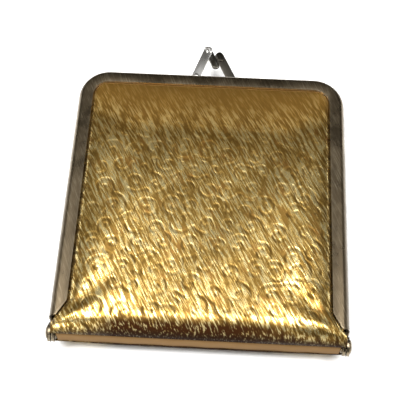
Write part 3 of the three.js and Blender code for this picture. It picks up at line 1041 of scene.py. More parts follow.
# Each loop below a cover's edge: its share of the way out, its way back at the spine, its drop
# below the spine's lip, and its greatest height at the window.
SKIRT = ((0.0, 0.25, 0.25, 5.42), (1.0, 0.8, 0.1, 5.3), (1.0, 1.3, -1.7, 4.9))


@dataclass
class PaddedCover:
    """One padded board: leathercloth drawn over wadding and held under the frame's flange."""

    half: Half
    finish: Finish
    scrolls: ScrollPattern = field(default_factory=ScrollPattern)
    columns: int = 361
    rows: int = 391
    crown_gain: float = 1.6
    crown_power: float = 0.6
    pressed: float = 0.2
    roll_length: float = 6.0
    edge_rise: float = 6.3
    ear_rise: float = 5.5
    lip_rise: float = 3.1
    tuck_rise: float = 5.35
    tuck_width: float = 1.3
    floor_rise: float = 4.9
    line_depth: float = 0.05
    uneven_height: float = 0.10
    pleat_height: float = 0.11
    pleats_per_radian: float = 13.0
    pleat_distance: float = 15.0
    pleat_run: float = 11.0
    bunching: float = 1.25
    tuck_reach: float = 0.9

    def half_width(self, y: np.ndarray) -> np.ndarray:
        """Half the opening's width: straight, flared at the ears, rounded in at the clasp end.

        Args:
            y: Each point's Y.

        Returns:
            The half width.
        """
        straight = WINDOW_HALF_WIDTH + (FLARE_HALF_WIDTH - WINDOW_HALF_WIDTH) * flare_at(y)
        above = np.clip(y - (WINDOW_TOP_Y - WINDOW_RADIUS), 0.0, WINDOW_RADIUS)
        return straight - WINDOW_RADIUS + np.sqrt(WINDOW_RADIUS**2 - above**2)

    def rise(self, x: np.ndarray, y: np.ndarray, half_width: np.ndarray) -> np.ndarray:
        """Height of the drawn cloth above the middle plane.

        It springs from the edge, crowns by the root of one less the third power of the share
        across, and a power of the sine along; it is pressed flat at its highest, rolls down by a
        quarter ellipse at the spine, and by another where it is tucked under the flange.

        Args:
            x: Each point's X.
            y: Each point's Y.
            half_width: Half the opening's width there.

        Returns:
            The height.
        """
        flare = flare_at(y)
        edge = self.edge_rise + (self.ear_rise - self.edge_rise) * flare
        opening = WINDOW_HALF_WIDTH + (FLARE_HALF_WIDTH - WINDOW_HALF_WIDTH) * flare
        across = np.clip(np.abs(x) / opening, 0, 1)
        along = np.clip((WINDOW_TOP_Y - y) / (WINDOW_TOP_Y - SPINE_Y), 0, 1)
        up = soft_least(self.crown_gain * np.sin(along * np.pi / 2) ** self.crown_power, 1.0, 0.22)
        crown = np.sqrt(1 - across**3) * up
        full = soft_least(edge + (PILLOW_TOP - edge + 2 * self.pressed) * crown, PILLOW_TOP + 0.1, 0.4)
        roll = np.clip((y - SPINE_Y) / self.roll_length, 0, 1)
        drawn = self.lip_rise + (full - self.lip_rise) * np.sqrt(1 - (1 - roll) ** 2.2)
        margin = np.minimum(half_width - np.abs(x), WINDOW_TOP_Y - y) / self.tuck_width
        tuck = np.sqrt(1 - (1 - np.clip(margin, 0, 1)) ** 2)
        floor = np.minimum(self.tuck_rise, drawn)
        return floor + (drawn - floor) * tuck

    def sway(self, x: np.ndarray, y: np.ndarray) -> np.ndarray:
        """Slow unevenness of hand padding, with soft pleats that run out of the spine corners.

        The unevenness is a sum of long sines. The pleats are a cosine of the bearing about each
        corner, under a bell curve of the distance from it.

        Args:
            x: Each point's X.
            y: Each point's Y.

        Returns:
            The height to add.
        """
        uneven = np.sin(0.17 * x + 0.9) * np.sin(0.13 * y - 0.4) + 0.6 * np.sin(0.31 * x - 0.22 * y)
        from_corner = np.hypot(HALF_WIDTH - np.abs(x), y - SPINE_Y)
        bearing = np.arctan2(y - SPINE_Y, HALF_WIDTH - np.abs(x) + 1e-6)
        bell = np.exp(-((from_corner - self.pleat_distance) / self.pleat_run) ** 2)
        pleats = np.cos(bearing * self.pleats_per_radian + 0.4 * np.sign(x)) * bell
        return self.uneven_height * uneven + self.pleat_height * pleats

    def embossed(
        self, x: np.ndarray, y: np.ndarray, half_width: np.ndarray, depth: np.ndarray
    ) -> np.ndarray:
        """Height of the cloth with its sway and its pressed lines, both faded out at the edges.

        Args:
            x: Each point's X.
            y: Each point's Y.
            half_width: Half the opening's width there.
            depth: How deep the lines are there, from 0 to 1.

        Returns:
            The height, held down at the pillow's highest.
        """
        inside = smooth(np.minimum(half_width - np.abs(x), WINDOW_TOP_Y - y) / 4.0)
        inside = inside * smooth((y - SPINE_Y) / 5.0)
        rise = self.rise(x, y, half_width)
        rise = rise + inside * (self.sway(x, y) - self.line_depth * depth)
        spare = 0.15 if self.half is Half.FRONT else 0.0
        return np.minimum(rise, PILLOW_TOP + spare)

    def ring(self) -> np.ndarray:
        """The grid's edge points, once round from its low left corner.

        Returns:
            Their numbers in the grid.
        """
        return np.concatenate([
            np.arange(self.columns),
            (np.arange(1, self.rows) + 1) * self.columns - 1,
            (self.rows - 1) * self.columns + np.arange(self.columns - 2, -1, -1),
            np.arange(self.rows - 2, 0, -1) * self.columns,
        ])

    def skirt(self, edge: np.ndarray) -> np.ndarray:
        """The loops that carry the top's edge down out of sight.

        Round the window they go outwards under the flange and down. At the spine they go back
        under the roll, to heights that count from its lip. A smooth share of Y blends the two.

        Args:
            edge: The top's edge points, once round.

        Returns:
            Points as loops by points by three.
        """
        along = np.roll(edge, -1, axis=0)[:, :2] - np.roll(edge, 1, axis=0)[:, :2]
        outward = np.stack([along[:, 1], -along[:, 0]], axis=1)
        outward /= np.linalg.norm(outward, axis=1, keepdims=True) + 1e-9
        spine_share = smooth((SPINE_Y + 2.5 - edge[:, 1]) / 2.5)
        shift = (1 - spine_share)[:, None] * (1 - flare_at(edge[:, 1])[:, None]) * outward
        loops = []
        for grow, back, spine_drop, height in SKIRT:
            loop = edge.copy()
            loop[:, :2] += grow * shift * self.tuck_reach
            loop[:, 1] += spine_share * back
            at_window = np.minimum(edge[:, 2], height)
            loop[:, 2] = at_window + spine_share * (self.lip_rise - spine_drop - at_window)
            loops.append(loop)
        return np.stack(loops)

    def wear(self, x: np.ndarray, y: np.ndarray, depth: np.ndarray) -> dict[str, np.ndarray]:
        """What the foil reads off the mesh, each from 0 to 1.

        Along the roll the foil is painted dark, a painted dark reflection, most on the right. Painted
        shade darkens the spine's lip and the cloth against the flange. Towards the clasp the foil is
        painted plain, with a painted tint.

        Args:
            x: Each point's X.
            y: Each point's Y.
            depth: How deep the scrolls' lines are there.

        Returns:
            The values by name.
        """
        # The roll's dark band is painted: a painted dark reflection, narrower at the sides.
        reach = 4.9 - 2.4 * smooth((np.abs(x + 2.0) - 20.0) / 14.0)
        strength = smooth((x + 36.0) / 13.0) * (1 - 0.15 * smooth((x - 10.0) / 16.0))
        # Painted shade in the crease at the spine's lip and where the cloth runs under the flange.
        at_spine = 0.85 * smooth((SPINE_Y + 1.5 - y) / 1.5)
        at_flange = 0.5 * smooth(1 - (WINDOW_TOP_Y - y) / 0.8)
        # Painted tint towards the clasp, reaching further at the sides.
        from_top = WINDOW_TOP_Y + 0.5 - y + 0.5 * np.clip(np.abs(x) - 24.0, 0, 20)
        return {
            "groove": depth,
            "rubbed": strength * smooth((SPINE_Y + reach - y) / 2.6),
            "soil": np.maximum(at_spine, at_flange),
            "calm": 1 - smooth(from_top / 44.0),
        }

    def surface(self) -> Surface:
        """The whole padded board as one closed skin.

        The top is a grid: X is the share across times the half width at each Y. Its edge is
        followed down under the flange, or under the roll at the spine, and closed below.

        Returns:
            The skin, with the foil's values on it.
        """
        share = np.sin(np.linspace(-1, 1, self.columns) * self.bunching) / math.sin(self.bunching)
        length = np.linspace(0, 1, self.rows)[:, None]
        y = np.broadcast_to(SPINE_Y + (WINDOW_TOP_Y - SPINE_Y) * length, (self.rows, self.columns))
        half_width = self.half_width(y)
        x = share[None, :] * half_width
        depth = self.scrolls.depth(x, y)
        top = np.stack([x, y, self.embossed(x, y, half_width, depth)], axis=2)
        points = top.reshape(-1, 3)
        ring = self.ring()
        skirt = self.skirt(points[ring])
        count, loops, around = len(points), len(skirt), len(ring)
        below = count + np.arange(loops * around).reshape(loops, around)
        numbers = np.concatenate([ring[None, :], below])
        following = np.roll(numbers, -1, axis=1)
        corners = (numbers[:-1], numbers[1:], following[1:], following[:-1])
        walls = np.stack([c.ravel() for c in corners], axis=1)
        middle = np.array([[0.0, (SPINE_Y + WINDOW_TOP_Y) / 2, self.floor_rise]])
        hub = np.full(around, count + loops * around)
        closing = np.stack([numbers[-1], hub, following[-1]], axis=1)
        everything = np.concatenate([points, skirt.reshape(-1, 3), middle])
        everything[:, 2] = self.half.lift(everything[:, 2])
        values = {
            name: np.concatenate([value.ravel(), value.ravel()[np.tile(ring, loops)], [0.0]])
            for name, value in self.wear(x, y, depth).items()
        }
        quads = np.concatenate([grid_quads(self.rows, self.columns), walls])
        return Surface(everything, quads, closing, values).outward()

    def build(self) -> None:
        """Builds the padded board and puts it on its half."""
        side = self.half.name.lower()
        piece = add_object(f"{side}_padded_cloth", self.surface(), self.finish, 80.0)
        fit_piece(piece, self.half.body, "gilt_leathercloth", f"{side}_cover", f"{side}_padding")
        board = bpy.data.objects[f"{side}_board"]
        board.data.materials[0] = BOARD.material()


# ---- Frames, hinges and clasp ---------------------------------------------------------------


def strip_solid(loops: np.ndarray) -> Surface:
    """A solid strip from closed sections whose first half is one face and second half the other.

    The ends are closed by quads between the two faces, so a bent section stays closed.

    Args:
        loops: Points as sections by points by three.

    Returns:
        The solid.
    """
    count, around = loops.shape[:2]
    j = np.arange(around // 2 - 1)
    near = np.stack([j, around - 1 - j, around - 2 - j, j + 1], axis=1)
    far = (count - 1) * around + near[:, ::-1]
    quads = np.concatenate([grid_quads(count, around, wrap_columns=True), near, far])
    return Surface(loops.reshape(-1, 3), quads).outward()


def strap_loop(
    start: Sequence[float], end: Sequence[float], half_width: float, steps: int = 12
) -> np.ndarray:
    """The outline of a strap with half-round ends, from one point to another.

    Args:
        start: X and Y of the first end's centre.
        end: X and Y of the second end's centre.
        half_width: Half its width, and the radius of its ends.
        steps: Points round each end.

    Returns:
        Points by two.
    """
    start_point, end_point = np.array(start, float), np.array(end, float)
    heading = math.atan2(end_point[1] - start_point[1], end_point[0] - start_point[0])
    turn = np.linspace(-np.pi / 2, np.pi / 2, steps)
    round_end = half_width * np.stack([np.cos(heading + turn), np.sin(heading + turn)], axis=1)
    at_end = end_point + round_end
    at_start = start_point - round_end
    along = np.linspace(0, 1, 14)[1:-1, None]
    return np.concatenate([
        at_end,
        at_end[-1] + (at_start[0] - at_end[-1]) * along,
        at_start,
        at_start[-1] + (at_end[0] - at_start[-1]) * along,
    ])


def stood_across(surface: Surface) -> Surface:
    """A surface drawn in Y and Z with its height along X, turned to stand that way."""
    points = surface.points[:, [2, 0, 1]]
    return Surface(points, surface.quads, surface.tris, surface.values).outward()


@dataclass
class SnapFrame:
    """One half's pressed steel frame: a rolled channel round three sides, with hinge ears."""

    half: Half
    start_y: float
    ear_outer: float
    lug_x: float
    lug_low: float
    ear_radius: float = 2.7
    lug_half_width: float = 1.9
    lug_reach: float = 3.2
    lug_thickness: float = 0.65
    edge_round: float = 0.32
    crown_height: float = 0.10
    crown_start: float = 1.6

    def path(self) -> tuple[np.ndarray, np.ndarray]:
        """The outer edge from the left ear round to the right one.

        Returns:
            The points in X and Y, and the direction straight inwards at each.
        """
        bend_y = TOP_Y - CORNER_RADIUS
        bend_x = HALF_WIDTH - CORNER_RADIUS
        leg = np.linspace(self.start_y, bend_y, 90)[:-1]
        angle = np.linspace(np.pi, np.pi / 2, 25)
        corner_x = -bend_x + CORNER_RADIUS * np.cos(angle)
        corner_y = bend_y + CORNER_RADIUS * np.sin(angle)
        top = np.linspace(-bend_x, 0, 30)[1:]
        left = np.concatenate([
            np.stack([np.full_like(leg, -HALF_WIDTH), leg], axis=1),
            np.stack([corner_x, corner_y], axis=1),
            np.stack([top, np.full_like(top, TOP_Y)], axis=1),
        ])
        inwards = np.concatenate([
            np.tile([1.0, 0.0], (len(leg), 1)),
            np.stack([-np.cos(angle), -np.sin(angle)], axis=1),
            np.tile([0.0, -1.0], (len(top), 1)),
        ])
        mirror = np.array([-1.0, 1.0])
        points = np.concatenate([left, (left * mirror)[-2::-1]])
        return points, np.concatenate([inwards, (inwards * mirror)[-2::-1]])

    def channel(self) -> Surface:
        """The rolled channel.

        A section is followed by its distance in from the outer edge. Outside, it climbs the wall,
        turns over a quarter ellipse and runs flat with a faint crown to the flange's edge, whose
        two corners are rounded; inside it comes back one sheet's thickness lower. The flange
        narrows along the flare.

        Returns:
            The channel, with its painted bright edges and painted flange shade on it.
        """
        points, inwards = self.path()
        reach = FLANGE + (HALF_WIDTH - FLARE_HALF_WIDTH - FLANGE) * flare_at(points[:, 1])[:, None]
        over_bend = np.linspace(0, 0.4, 15) ** 2 / 0.4
        share = np.concatenate([over_bend, np.linspace(0.4, 1, 12)[1:]])[None, :]
        inset = reach * share
        bend = np.clip(inset / SHOULDER_RUN, 0, 1)
        on_flat = np.clip((inset - self.crown_start) / (FLANGE - self.crown_start), 0, 1)
        crown = self.crown_height * np.sin(on_flat * np.pi)
        shoulder = HALF_DEPTH - SHOULDER_RISE
        outside = shoulder + SHOULDER_RISE * np.sqrt(1 - (1 - bend) ** 2) + crown
        near_edge = np.clip((inset - reach + self.edge_round) / self.edge_round, 0, 1)
        rounding = self.edge_round * (1 - np.sqrt(1 - near_edge**2))
        inside_inset = SHEET + (reach - SHEET) * share
        inside_bend = np.clip((inside_inset - SHEET) / (SHOULDER_RUN - SHEET), 0, 1)
        inside = shoulder + (SHOULDER_RISE - SHEET) * np.sqrt(1 - (1 - inside_bend) ** 2)
        count = len(points)
        wall = np.linspace(SEAM, shoulder, 4)[None, :-1]
        wall_rise = np.broadcast_to(wall, (count, wall.shape[1]))
        zero = np.zeros_like(wall_rise)
        all_inset = np.concatenate([zero, inset, inside_inset[:, ::-1], zero + SHEET], axis=1)
        all_rise = np.concatenate([
            wall_rise, outside - rounding, inside[:, ::-1] + rounding[:, ::-1], wall_rise[:, ::-1]
        ], axis=1)
        place = points[:, None, :] + all_inset[:, :, None] * inwards[:, None, :]
        loops = np.concatenate([place, self.half.lift(all_rise)[:, :, None]], axis=2)
        channel = strip_solid(loops)
        # Painted reflection: the outer wall is painted bright where it mirrors the floor; a painted
        # highlight runs along the flange's inner rim.
        wall_painted_reflection = smooth((4.4 - all_rise) / 2.4)
        # Painted shade: the flanges, but not the walls, are darkened towards the spine.
        low_down = smooth((14.0 - place[:, :, 1]) / 44.0)
        channel.values["tarnish"] = (0.55 * low_down * (1 - wall_painted_reflection)).ravel()
        rim_painted_highlight = np.exp(-((all_inset - reach) / 0.5) ** 2) * 0.25
        channel.values["wear"] = np.clip(0.95 * wall_painted_reflection + rim_painted_highlight, 0, 1).ravel()
        return channel

    def ear(self, side: int) -> Surface:
        """One hinge ear: a disc about the pin with a neck that runs up into the frame's wall.

        Args:
            side: -1 for the left, 1 for the right.

        Returns:
            The ear.
        """
        neck_top = self.ear_radius - 0.2
        neck_y = HINGE_Y + self.ear_radius + 1.8
        turn = np.linspace(math.asin(neck_top / self.ear_radius), 2 * np.pi + 0.055, 40)
        disc = self.ear_radius * np.stack([np.cos(turn), np.sin(turn)], axis=1) + [HINGE_Y, 0.0]
        outline = np.concatenate([disc, [[neck_y, SEAM], [neck_y, neck_top]]])
        outline[:, 1] = self.half.lift(outline[:, 1])
        plate = soft_slab(outline, self.ear_outer - SHEET, self.ear_outer, 0.12, 3)
        plate.points[:, 2] *= side
        return stood_across(plate).marked("wear", 0.15)

    def jog(self, side: int) -> Surface:
        """The short step that joins an inset ear to the frame's wall.

        Args:
            side: -1 for the left, 1 for the right.

        Returns:
            The step.
        """
        high = HALF_WIDTH - 0.05
        low_y = self.start_y + 0.1
        low = self.ear_outer - SHEET
        loop = rounded_loop((high - low) / 2, low_y, low_y + 1.2, 0.15, 0.15, 3, 2)
        loop[:, 0] = side * (loop[:, 0] + (high + low) / 2)
        ends = sorted(float(self.half.lift(np.array(rise))) for rise in (SEAM, SHOULDER_RUN))
        return soft_slab(loop, ends[0], ends[1], 0.1, 2).outward()

    def lug(self) -> Surface:
        """The lug that carries a clasp arm, as a rounded plate.

        Returns:
            The lug.
        """
        loop = rounded_loop(self.lug_half_width, TOP_Y - 0.6, TOP_Y + self.lug_reach, 0.2, 1.5, 8, 6)
        loop[:, 0] += self.lug_x
        low = MID_Z + self.lug_low
        return soft_slab(loop, low, low + self.lug_thickness, 0.18, 3).marked("wear", 0.2)

    def build(self) -> None:
        """Builds the frame and puts it on its half."""
        whole = self.channel().joined(self.lug())
        for side in (-1, 1):
            whole = whole.joined(self.ear(side))
            if self.half is Half.FRONT:
                whole = whole.joined(self.jog(side))
        side_name = self.half.name.lower()
        piece = add_object(f"{side_name}_steel_frame", whole, FRAME_STEEL, 35.0)
        fit_piece(piece, self.half.body, "frame_steel", f"{side_name}_frame")


@dataclass
class HingeRivet:
    """A domed rivet through the two ears at one spine corner."""

    side: int
    head_radius: float = 2.2
    head_rise: float = 0.86
    clinch_radius: float = 1.9
    shank_radius: float = 1.2

    def build(self) -> None:
        """Builds the rivet: a dome outside, the shank, and a spread clinch inside.

        Its profile of radius and height is turned about the hinge's axis.
        """
        head = HALF_WIDTH + 0.05
        clinch = HALF_WIDTH - 2 * SHEET - 2 * SEAM - 0.05
        dome = np.linspace(0, np.pi / 2 - 0.12, 9)
        profile = [(0.6, clinch - 0.45), (self.clinch_radius - 0.25, clinch - 0.42)]
        profile += [(self.clinch_radius, clinch - 0.2), (self.clinch_radius - 0.05, clinch)]
        profile += [(self.shank_radius, clinch + 0.02), (self.shank_radius, head - 0.02)]
        profile += [(self.head_radius * math.cos(a), head + self.head_rise * math.sin(a)) for a in dome]
        rivet = stood_across(revolve(profile, (HINGE_Y, MID_Z, 0.0), 48))
        rivet.points[:, 0] *= self.side
        rivet = rivet.outward().marked("wear", 0.1)
        side_name = "left" if self.side < 0 else "right"
        piece = add_object(f"{side_name}_rivet", rivet, FRAME_STEEL, 35.0)
        fit_piece(piece, "base", "bright_steel", f"hinge_rivet_{side_name}")


@dataclass
class ClaspArm:
    """A spring arm of folded steel strip on a small rivet, with a bent or ribbed head."""

    name: str
    body: str
    node: str
    root: tuple[float, float]
    head: tuple[float, float]
    low: float
    finish: Finish
    bent_to: tuple[float, float]
    bent_half_width: float
    bent_low: float
    bent_high: float
    ribs: int = 0
    half_width: float = 1.5
    thickness: float = 0.9

    def build(self) -> None:
        """Builds the arm: the strip, its second bend, its rivet and the ribs pressed in its head."""
        low = MID_Z + self.low
        outline = strap_loop(self.root, self.head, self.half_width)
        # Painted reflection: the strip is painted in the finish's bright tone and its second bend in its
        # dark tone.
        strip = soft_slab(outline, low, low + self.thickness, 0.38, 6).marked("wear", 1.0)
        outline = strap_loop(self.head, self.bent_to, self.bent_half_width)
        bend = soft_slab(outline, MID_Z + self.bent_low, MID_Z + self.bent_high, 0.22, 4)
        strip = strip.joined(bend.marked("wear", 0.0))
        dome = np.linspace(0, np.pi / 2 - 0.15, 7)
        top = low + self.thickness - 0.1
        bead = [(0.85 * math.cos(a), 0.42 * math.sin(a)) for a in dome]
        rivet = revolve([(0.85, -0.3), *bead], (*self.root, top), 28)
        strip = strip.joined(rivet.marked("wear", 0.8))
        # Painted glints: the head's ribs are painted brighter than the strip.
        for number in range(self.ribs):
            across = self.head[0] + 1.15 * (number - (self.ribs - 1) / 2)
            start = (across - 0.3, self.head[1] + 0.75)
            end = (across + 0.3, self.head[1] - 0.75)
            rib = soft_slab(strap_loop(start, end, 0.42, 8), top - 0.2, top + 0.42, 0.40, 7)
            strip = strip.joined(rib.marked("wear", 1.2))
        piece = add_object(self.name, strip, self.finish, 45.0)
        fit_piece(piece, self.body, "bright_steel", self.node)


# ---- Spine ----------------------------------------------------------------------------------


@dataclass
class SpineSheet:
    """A sheet carried round the back of the compact."""

    name: str
    node: str
    slot: str
    finish: Finish
    half_length: float
    half_height: float
    out_y: float
    thickness: float
    bulge: float
    tuck: float
    columns: int = 220
    rows: int = 41

    def surface(self) -> Surface:
        """The sheet as a thin closed shell.

        Up the sheet, Y bulges outwards by one less the square of the share, and tucks in behind
        the covers by its sixth power. Its inner face is the same, one thickness further in.

        Returns:
            The sheet, with painted shade towards its two long edges.
        """
        share = np.linspace(-1, 1, self.rows)
        x = np.linspace(-self.half_length, self.half_length, self.columns)[:, None]
        ripple = 0.05 * np.sin(0.55 * x + 0.8 * np.sin(0.17 * x))
        outer_y = self.out_y - (self.bulge + ripple) * (1 - share**2) + self.tuck * np.abs(share) ** 6
        rise = np.broadcast_to(self.half_height * share, outer_y.shape)
        inner_y = outer_y + self.thickness
        y = np.concatenate([outer_y, inner_y[:, ::-1]], axis=1)
        z = MID_Z + np.concatenate([rise, rise[:, ::-1]], axis=1)
        loops = np.stack([np.broadcast_to(x, y.shape), y, z], axis=2)
        # The whole spine is plain foil under the same painted tint.
        sheet = strip_solid(loops).marked("calm", 1.0)
        # Painted shade towards the sheet's long edges, where it runs into the creases.
        soil = 0.8 * smooth((np.abs(share) - 0.2) / 0.7)
        sheet.values["soil"] = np.tile(np.concatenate([soil, soil]), self.columns)
        return sheet

    def build(self) -> None:
        """Builds the sheet and bakes it in place."""
        piece = add_object(self.name, self.surface(), self.finish, 60.0)
        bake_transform(piece)
        register_piece(piece, self.slot, self.node)


# ---- Powder side ----------------------------------------------------------------------------


@dataclass
class PowderTray:
    """The gilt deck with its round well, and the pan and pressed powder in it."""

    centre_y: float
    deck_top: float
    well_radius: float = 27.0
    well_wall: float = 0.8
    well_floor: float = -6.7
    deck_sheet: float = 1.0
    cake_top: float = -3.1
    flutes: int = 16

    def deck(self) -> Surface:
        """The deck: from the well's lip out to the rim, as loops that turn from round to square.

        Each loop is the blend of the circle of the well and the tray's outline, followed at equal
        bearings about the well; a bead runs round the lip and a groove inside the rim.

        Returns:
            The deck and the well's floor.
        """
        bearing = np.linspace(0, 2 * np.pi, 288, endpoint=False)
        around = box_outline("powder_tray", (0.6, 8.4), 20, 80) - [0.0, self.centre_y]
        angle = np.arctan2(around[:, 1], around[:, 0]) % (2 * np.pi)
        order = np.argsort(angle)
        distance = np.hypot(around[:, 0], around[:, 1])
        reach = np.interp(bearing, angle[order], distance[order], period=2 * np.pi)
        top = self.deck_top
        under = top - self.deck_sheet
        wall, floor_rise = self.well_wall, self.well_floor
        stations = [
            ("well", 0.0, floor_rise + 0.6), ("well", 0.0, top - 0.4), ("well", 0.12, top - 0.12),
            ("well", 0.4, top), ("well", 0.9, top + 0.12), ("well", 1.5, top + 0.12),
            ("well", 1.9, top), ("well", 2.1, top), ("well", 2.4, top),
            ("rim", 3.1, top), ("rim", 2.8, top), ("rim", 2.6, top), ("rim", 2.2, top - 0.25),
            ("rim", 1.6, top - 0.25), ("rim", 1.2, top), ("rim", 0.4, top),
            ("rim", 0.1, top - 0.15), ("rim", 0.0, top - 0.5), ("rim", 0.3, under),
            ("well", wall + 1.5, under), ("well", wall, under - 0.2),
            ("well", wall, floor_rise + 0.2), ("well", wall - 0.3, floor_rise),
            ("well", -0.6, floor_rise),
        ]
        loops = []
        for kind, offset, rise in stations:
            radius = self.well_radius + offset if kind == "well" else reach - offset
            radius = np.broadcast_to(radius, bearing.shape)
            x, y = radius * np.cos(bearing), self.centre_y + radius * np.sin(bearing)
            loops.append(np.stack([x, y, np.full_like(bearing, MID_Z + rise)], axis=1))
        ring = loft(np.stack(loops), wrap=True)
        floor_radius = self.well_radius - 0.3
        profile = [(floor_radius, floor_rise + 0.05), (floor_radius, floor_rise + 0.6)]
        return ring.joined(revolve(profile, (0, self.centre_y, MID_Z)))

    def pan(self) -> Surface:
        """The thin drawn pan with a rolled rim, as a profile turned about the well's axis.

        Returns:
            The pan.
        """
        floor = self.well_floor + 0.65
        outer = self.well_radius - 0.3
        profile = [
            (outer - 0.6, floor), (outer - 0.1, floor + 0.3), (outer, floor + 0.8),
            (outer, -2.0), (outer - 0.06, -1.86), (outer - 0.2, -1.8),
            (outer - 0.34, -1.86), (outer - 0.4, -2.0),
            (outer - 0.4, floor + 0.8), (outer - 0.7, floor + 0.4),
        ]
        return revolve(profile, (0.0, self.centre_y, MID_Z), 144)

    def cake(self) -> Surface:
        """The pressed powder, with rays of shallow flutes round a plain middle.

        Height is a low crown plus a cosine of the bearing times the flutes, faded out towards the
        middle and the edge. The edge is rounded off by a quarter ellipse.

        Returns:
            The powder, with its high places marked by the relief value.
        """
        radius = self.well_radius - 0.8
        share = np.linspace(0, 1, 60)[1:]
        distance = radius * np.sin(share * np.pi / 2)
        bearing = np.linspace(0, 2 * np.pi, 240, endpoint=False)
        out, turn = np.meshgrid(distance / radius, bearing, indexing="ij")
        band = smooth((out - 0.22) / 0.1) * smooth((0.93 - out) / 0.12)
        flute = 0.5 + 0.5 * np.cos(self.flutes * turn + 5.0 * out)
        ring = np.exp(-(((out - 0.2) / 0.03) ** 2)) + np.exp(-(((out - 0.955) / 0.02) ** 2))
        edge = 0.5 * (1 - np.sqrt(np.clip(1 - np.clip((out - 0.975) / 0.025, 0, 1) ** 2, 0, 1)))
        height = self.cake_top - 0.20 * out**2 - 0.24 * band * (1 - flute) - 0.14 * ring - edge
        x = distance[:, None] * np.cos(bearing)
        y = self.centre_y + distance[:, None] * np.sin(bearing)
        upper = np.stack([x, y, MID_Z + height], axis=2)
        wall = upper[-1:].copy()
        wall[:, :, 2] = MID_Z + (self.well_floor + 1.15)
        foot = wall.copy()
        foot[:, :, :2] = (foot[:, :, :2] - [0, self.centre_y]) * 0.5 + [0, self.centre_y]
        powder = loft(np.concatenate([upper, wall, foot]))
        hidden = np.zeros(2 * len(bearing) + 2)
        powder.values["relief"] = np.concatenate([(band * flute).ravel(), hidden])
        return powder

    def build(self) -> None:
        """Builds the deck, the pan and the powder."""
        deck = add_object("gilt_tray", self.deck(), GILT_METAL, 50.0)
        fit_piece(deck, "base", "gilt_metal", "powder_tray")
        pan = add_object("tin_powder_pan", self.pan(), TIN, 50.0)
        fit_piece(pan, "base", "tin_pan", "powder_pan")
        powder = add_object("pressed_powder", self.cake(), POWDER, 60.0)
        fit_piece(powder, "base", "powder", "powder_cake")


@dataclass
class Puff:
    """The velour puff and the satin band across its back."""

    centre_y: float
    radius: float = 25.7
    low: float = -2.92
    top: float = 0.35
    band_half_length: float = 23.0
    band_half_width: float = 5.5
    band_thickness: float = 0.14

    def crown(self, distance: np.ndarray) -> np.ndarray:
        """Height of the puff's back: nearly flat, then a round edge.

        It is the root of one less the ninth power of the share of the radius, on a slight dome.

        Args:
            distance: Distance from the puff's middle.

        Returns:
            The height from the middle plane.
        """
        share = np.clip(distance / self.radius, 0, 1)
        middle = (self.low + self.top) / 2
        return middle + (self.top - middle) * (1 - share**9) ** 0.5 * (1 - 0.12 * share**2)

    def pad(self) -> Surface:
        """The pad: the same crown above and below, gently uneven, with a stitched edge.

        Returns:
            The pad.
        """
        turn = np.linspace(0, 2 * np.pi, 192, endpoint=False)
        share = np.sin(np.linspace(0, 1, 52)[1:] * np.pi / 2)
        distance = self.radius * share
        upper = self.crown(distance)
        lower = self.low + self.top - upper
        reach = np.concatenate([distance, distance[-2::-1]])
        height = np.concatenate([upper, lower[-2::-1]])
        stitch = 1 + 0.004 * np.cos(64 * turn)
        x = reach[:, None] * stitch * np.cos(turn)
        y = self.centre_y + reach[:, None] * stitch * np.sin(turn)
        uneven = 0.05 * np.sin(0.4 * x + 0.5) * np.sin(0.35 * (y - self.centre_y))
        fade = smooth((self.radius - reach) / 4.0)[:, None]
        z = MID_Z + height[:, None] - fade * (0.07 + uneven)
        return loft(np.stack([x, y, z], axis=2))

    def band(self) -> Surface:
        """The satin band: a thin sheet that lies over the puff and tucks down at its two ends.

        Its height is a low arch along it, plus a slow wandering cosine across it for its folds.

        Returns:
            The band.
        """
        x = np.linspace(-self.band_half_length, self.band_half_length, 160)[:, None]
        across = np.linspace(-self.band_half_width, self.band_half_width, 33)[None, :]
        end = np.clip((np.abs(x) - self.band_half_length + 2.0) / 2.0, 0, 1)
        fold = 0.04 * np.cos(across * 1.9 + 0.4 * np.sin(0.3 * x)) * (1 - end)
        arch = 0.12 * (1 - (x / self.band_half_length) ** 2)
        upper = MID_Z + self.top + 0.2 + fold + arch - 0.12 * end
        lower = upper - self.band_thickness
        y = np.broadcast_to(self.centre_y + across, upper.shape)
        y = np.concatenate([y, y[:, ::-1]], axis=1)
        z = np.concatenate([upper, lower[:, ::-1]], axis=1)
        return strip_solid(np.stack([np.broadcast_to(x, y.shape), y, z], axis=2))

    def build(self) -> None:
        """Builds the puff and its band."""
        pad = add_object("velour_puff", self.pad(), VELOUR, 80.0)
        fit_piece(pad, "base", "velour", "puff")
        band = add_object("satin_band", self.band(), SATIN, 60.0)
        fit_piece(band, "base", "satin", "puff_ribbon")


# ---- Mirror side ----------------------------------------------------------------------------


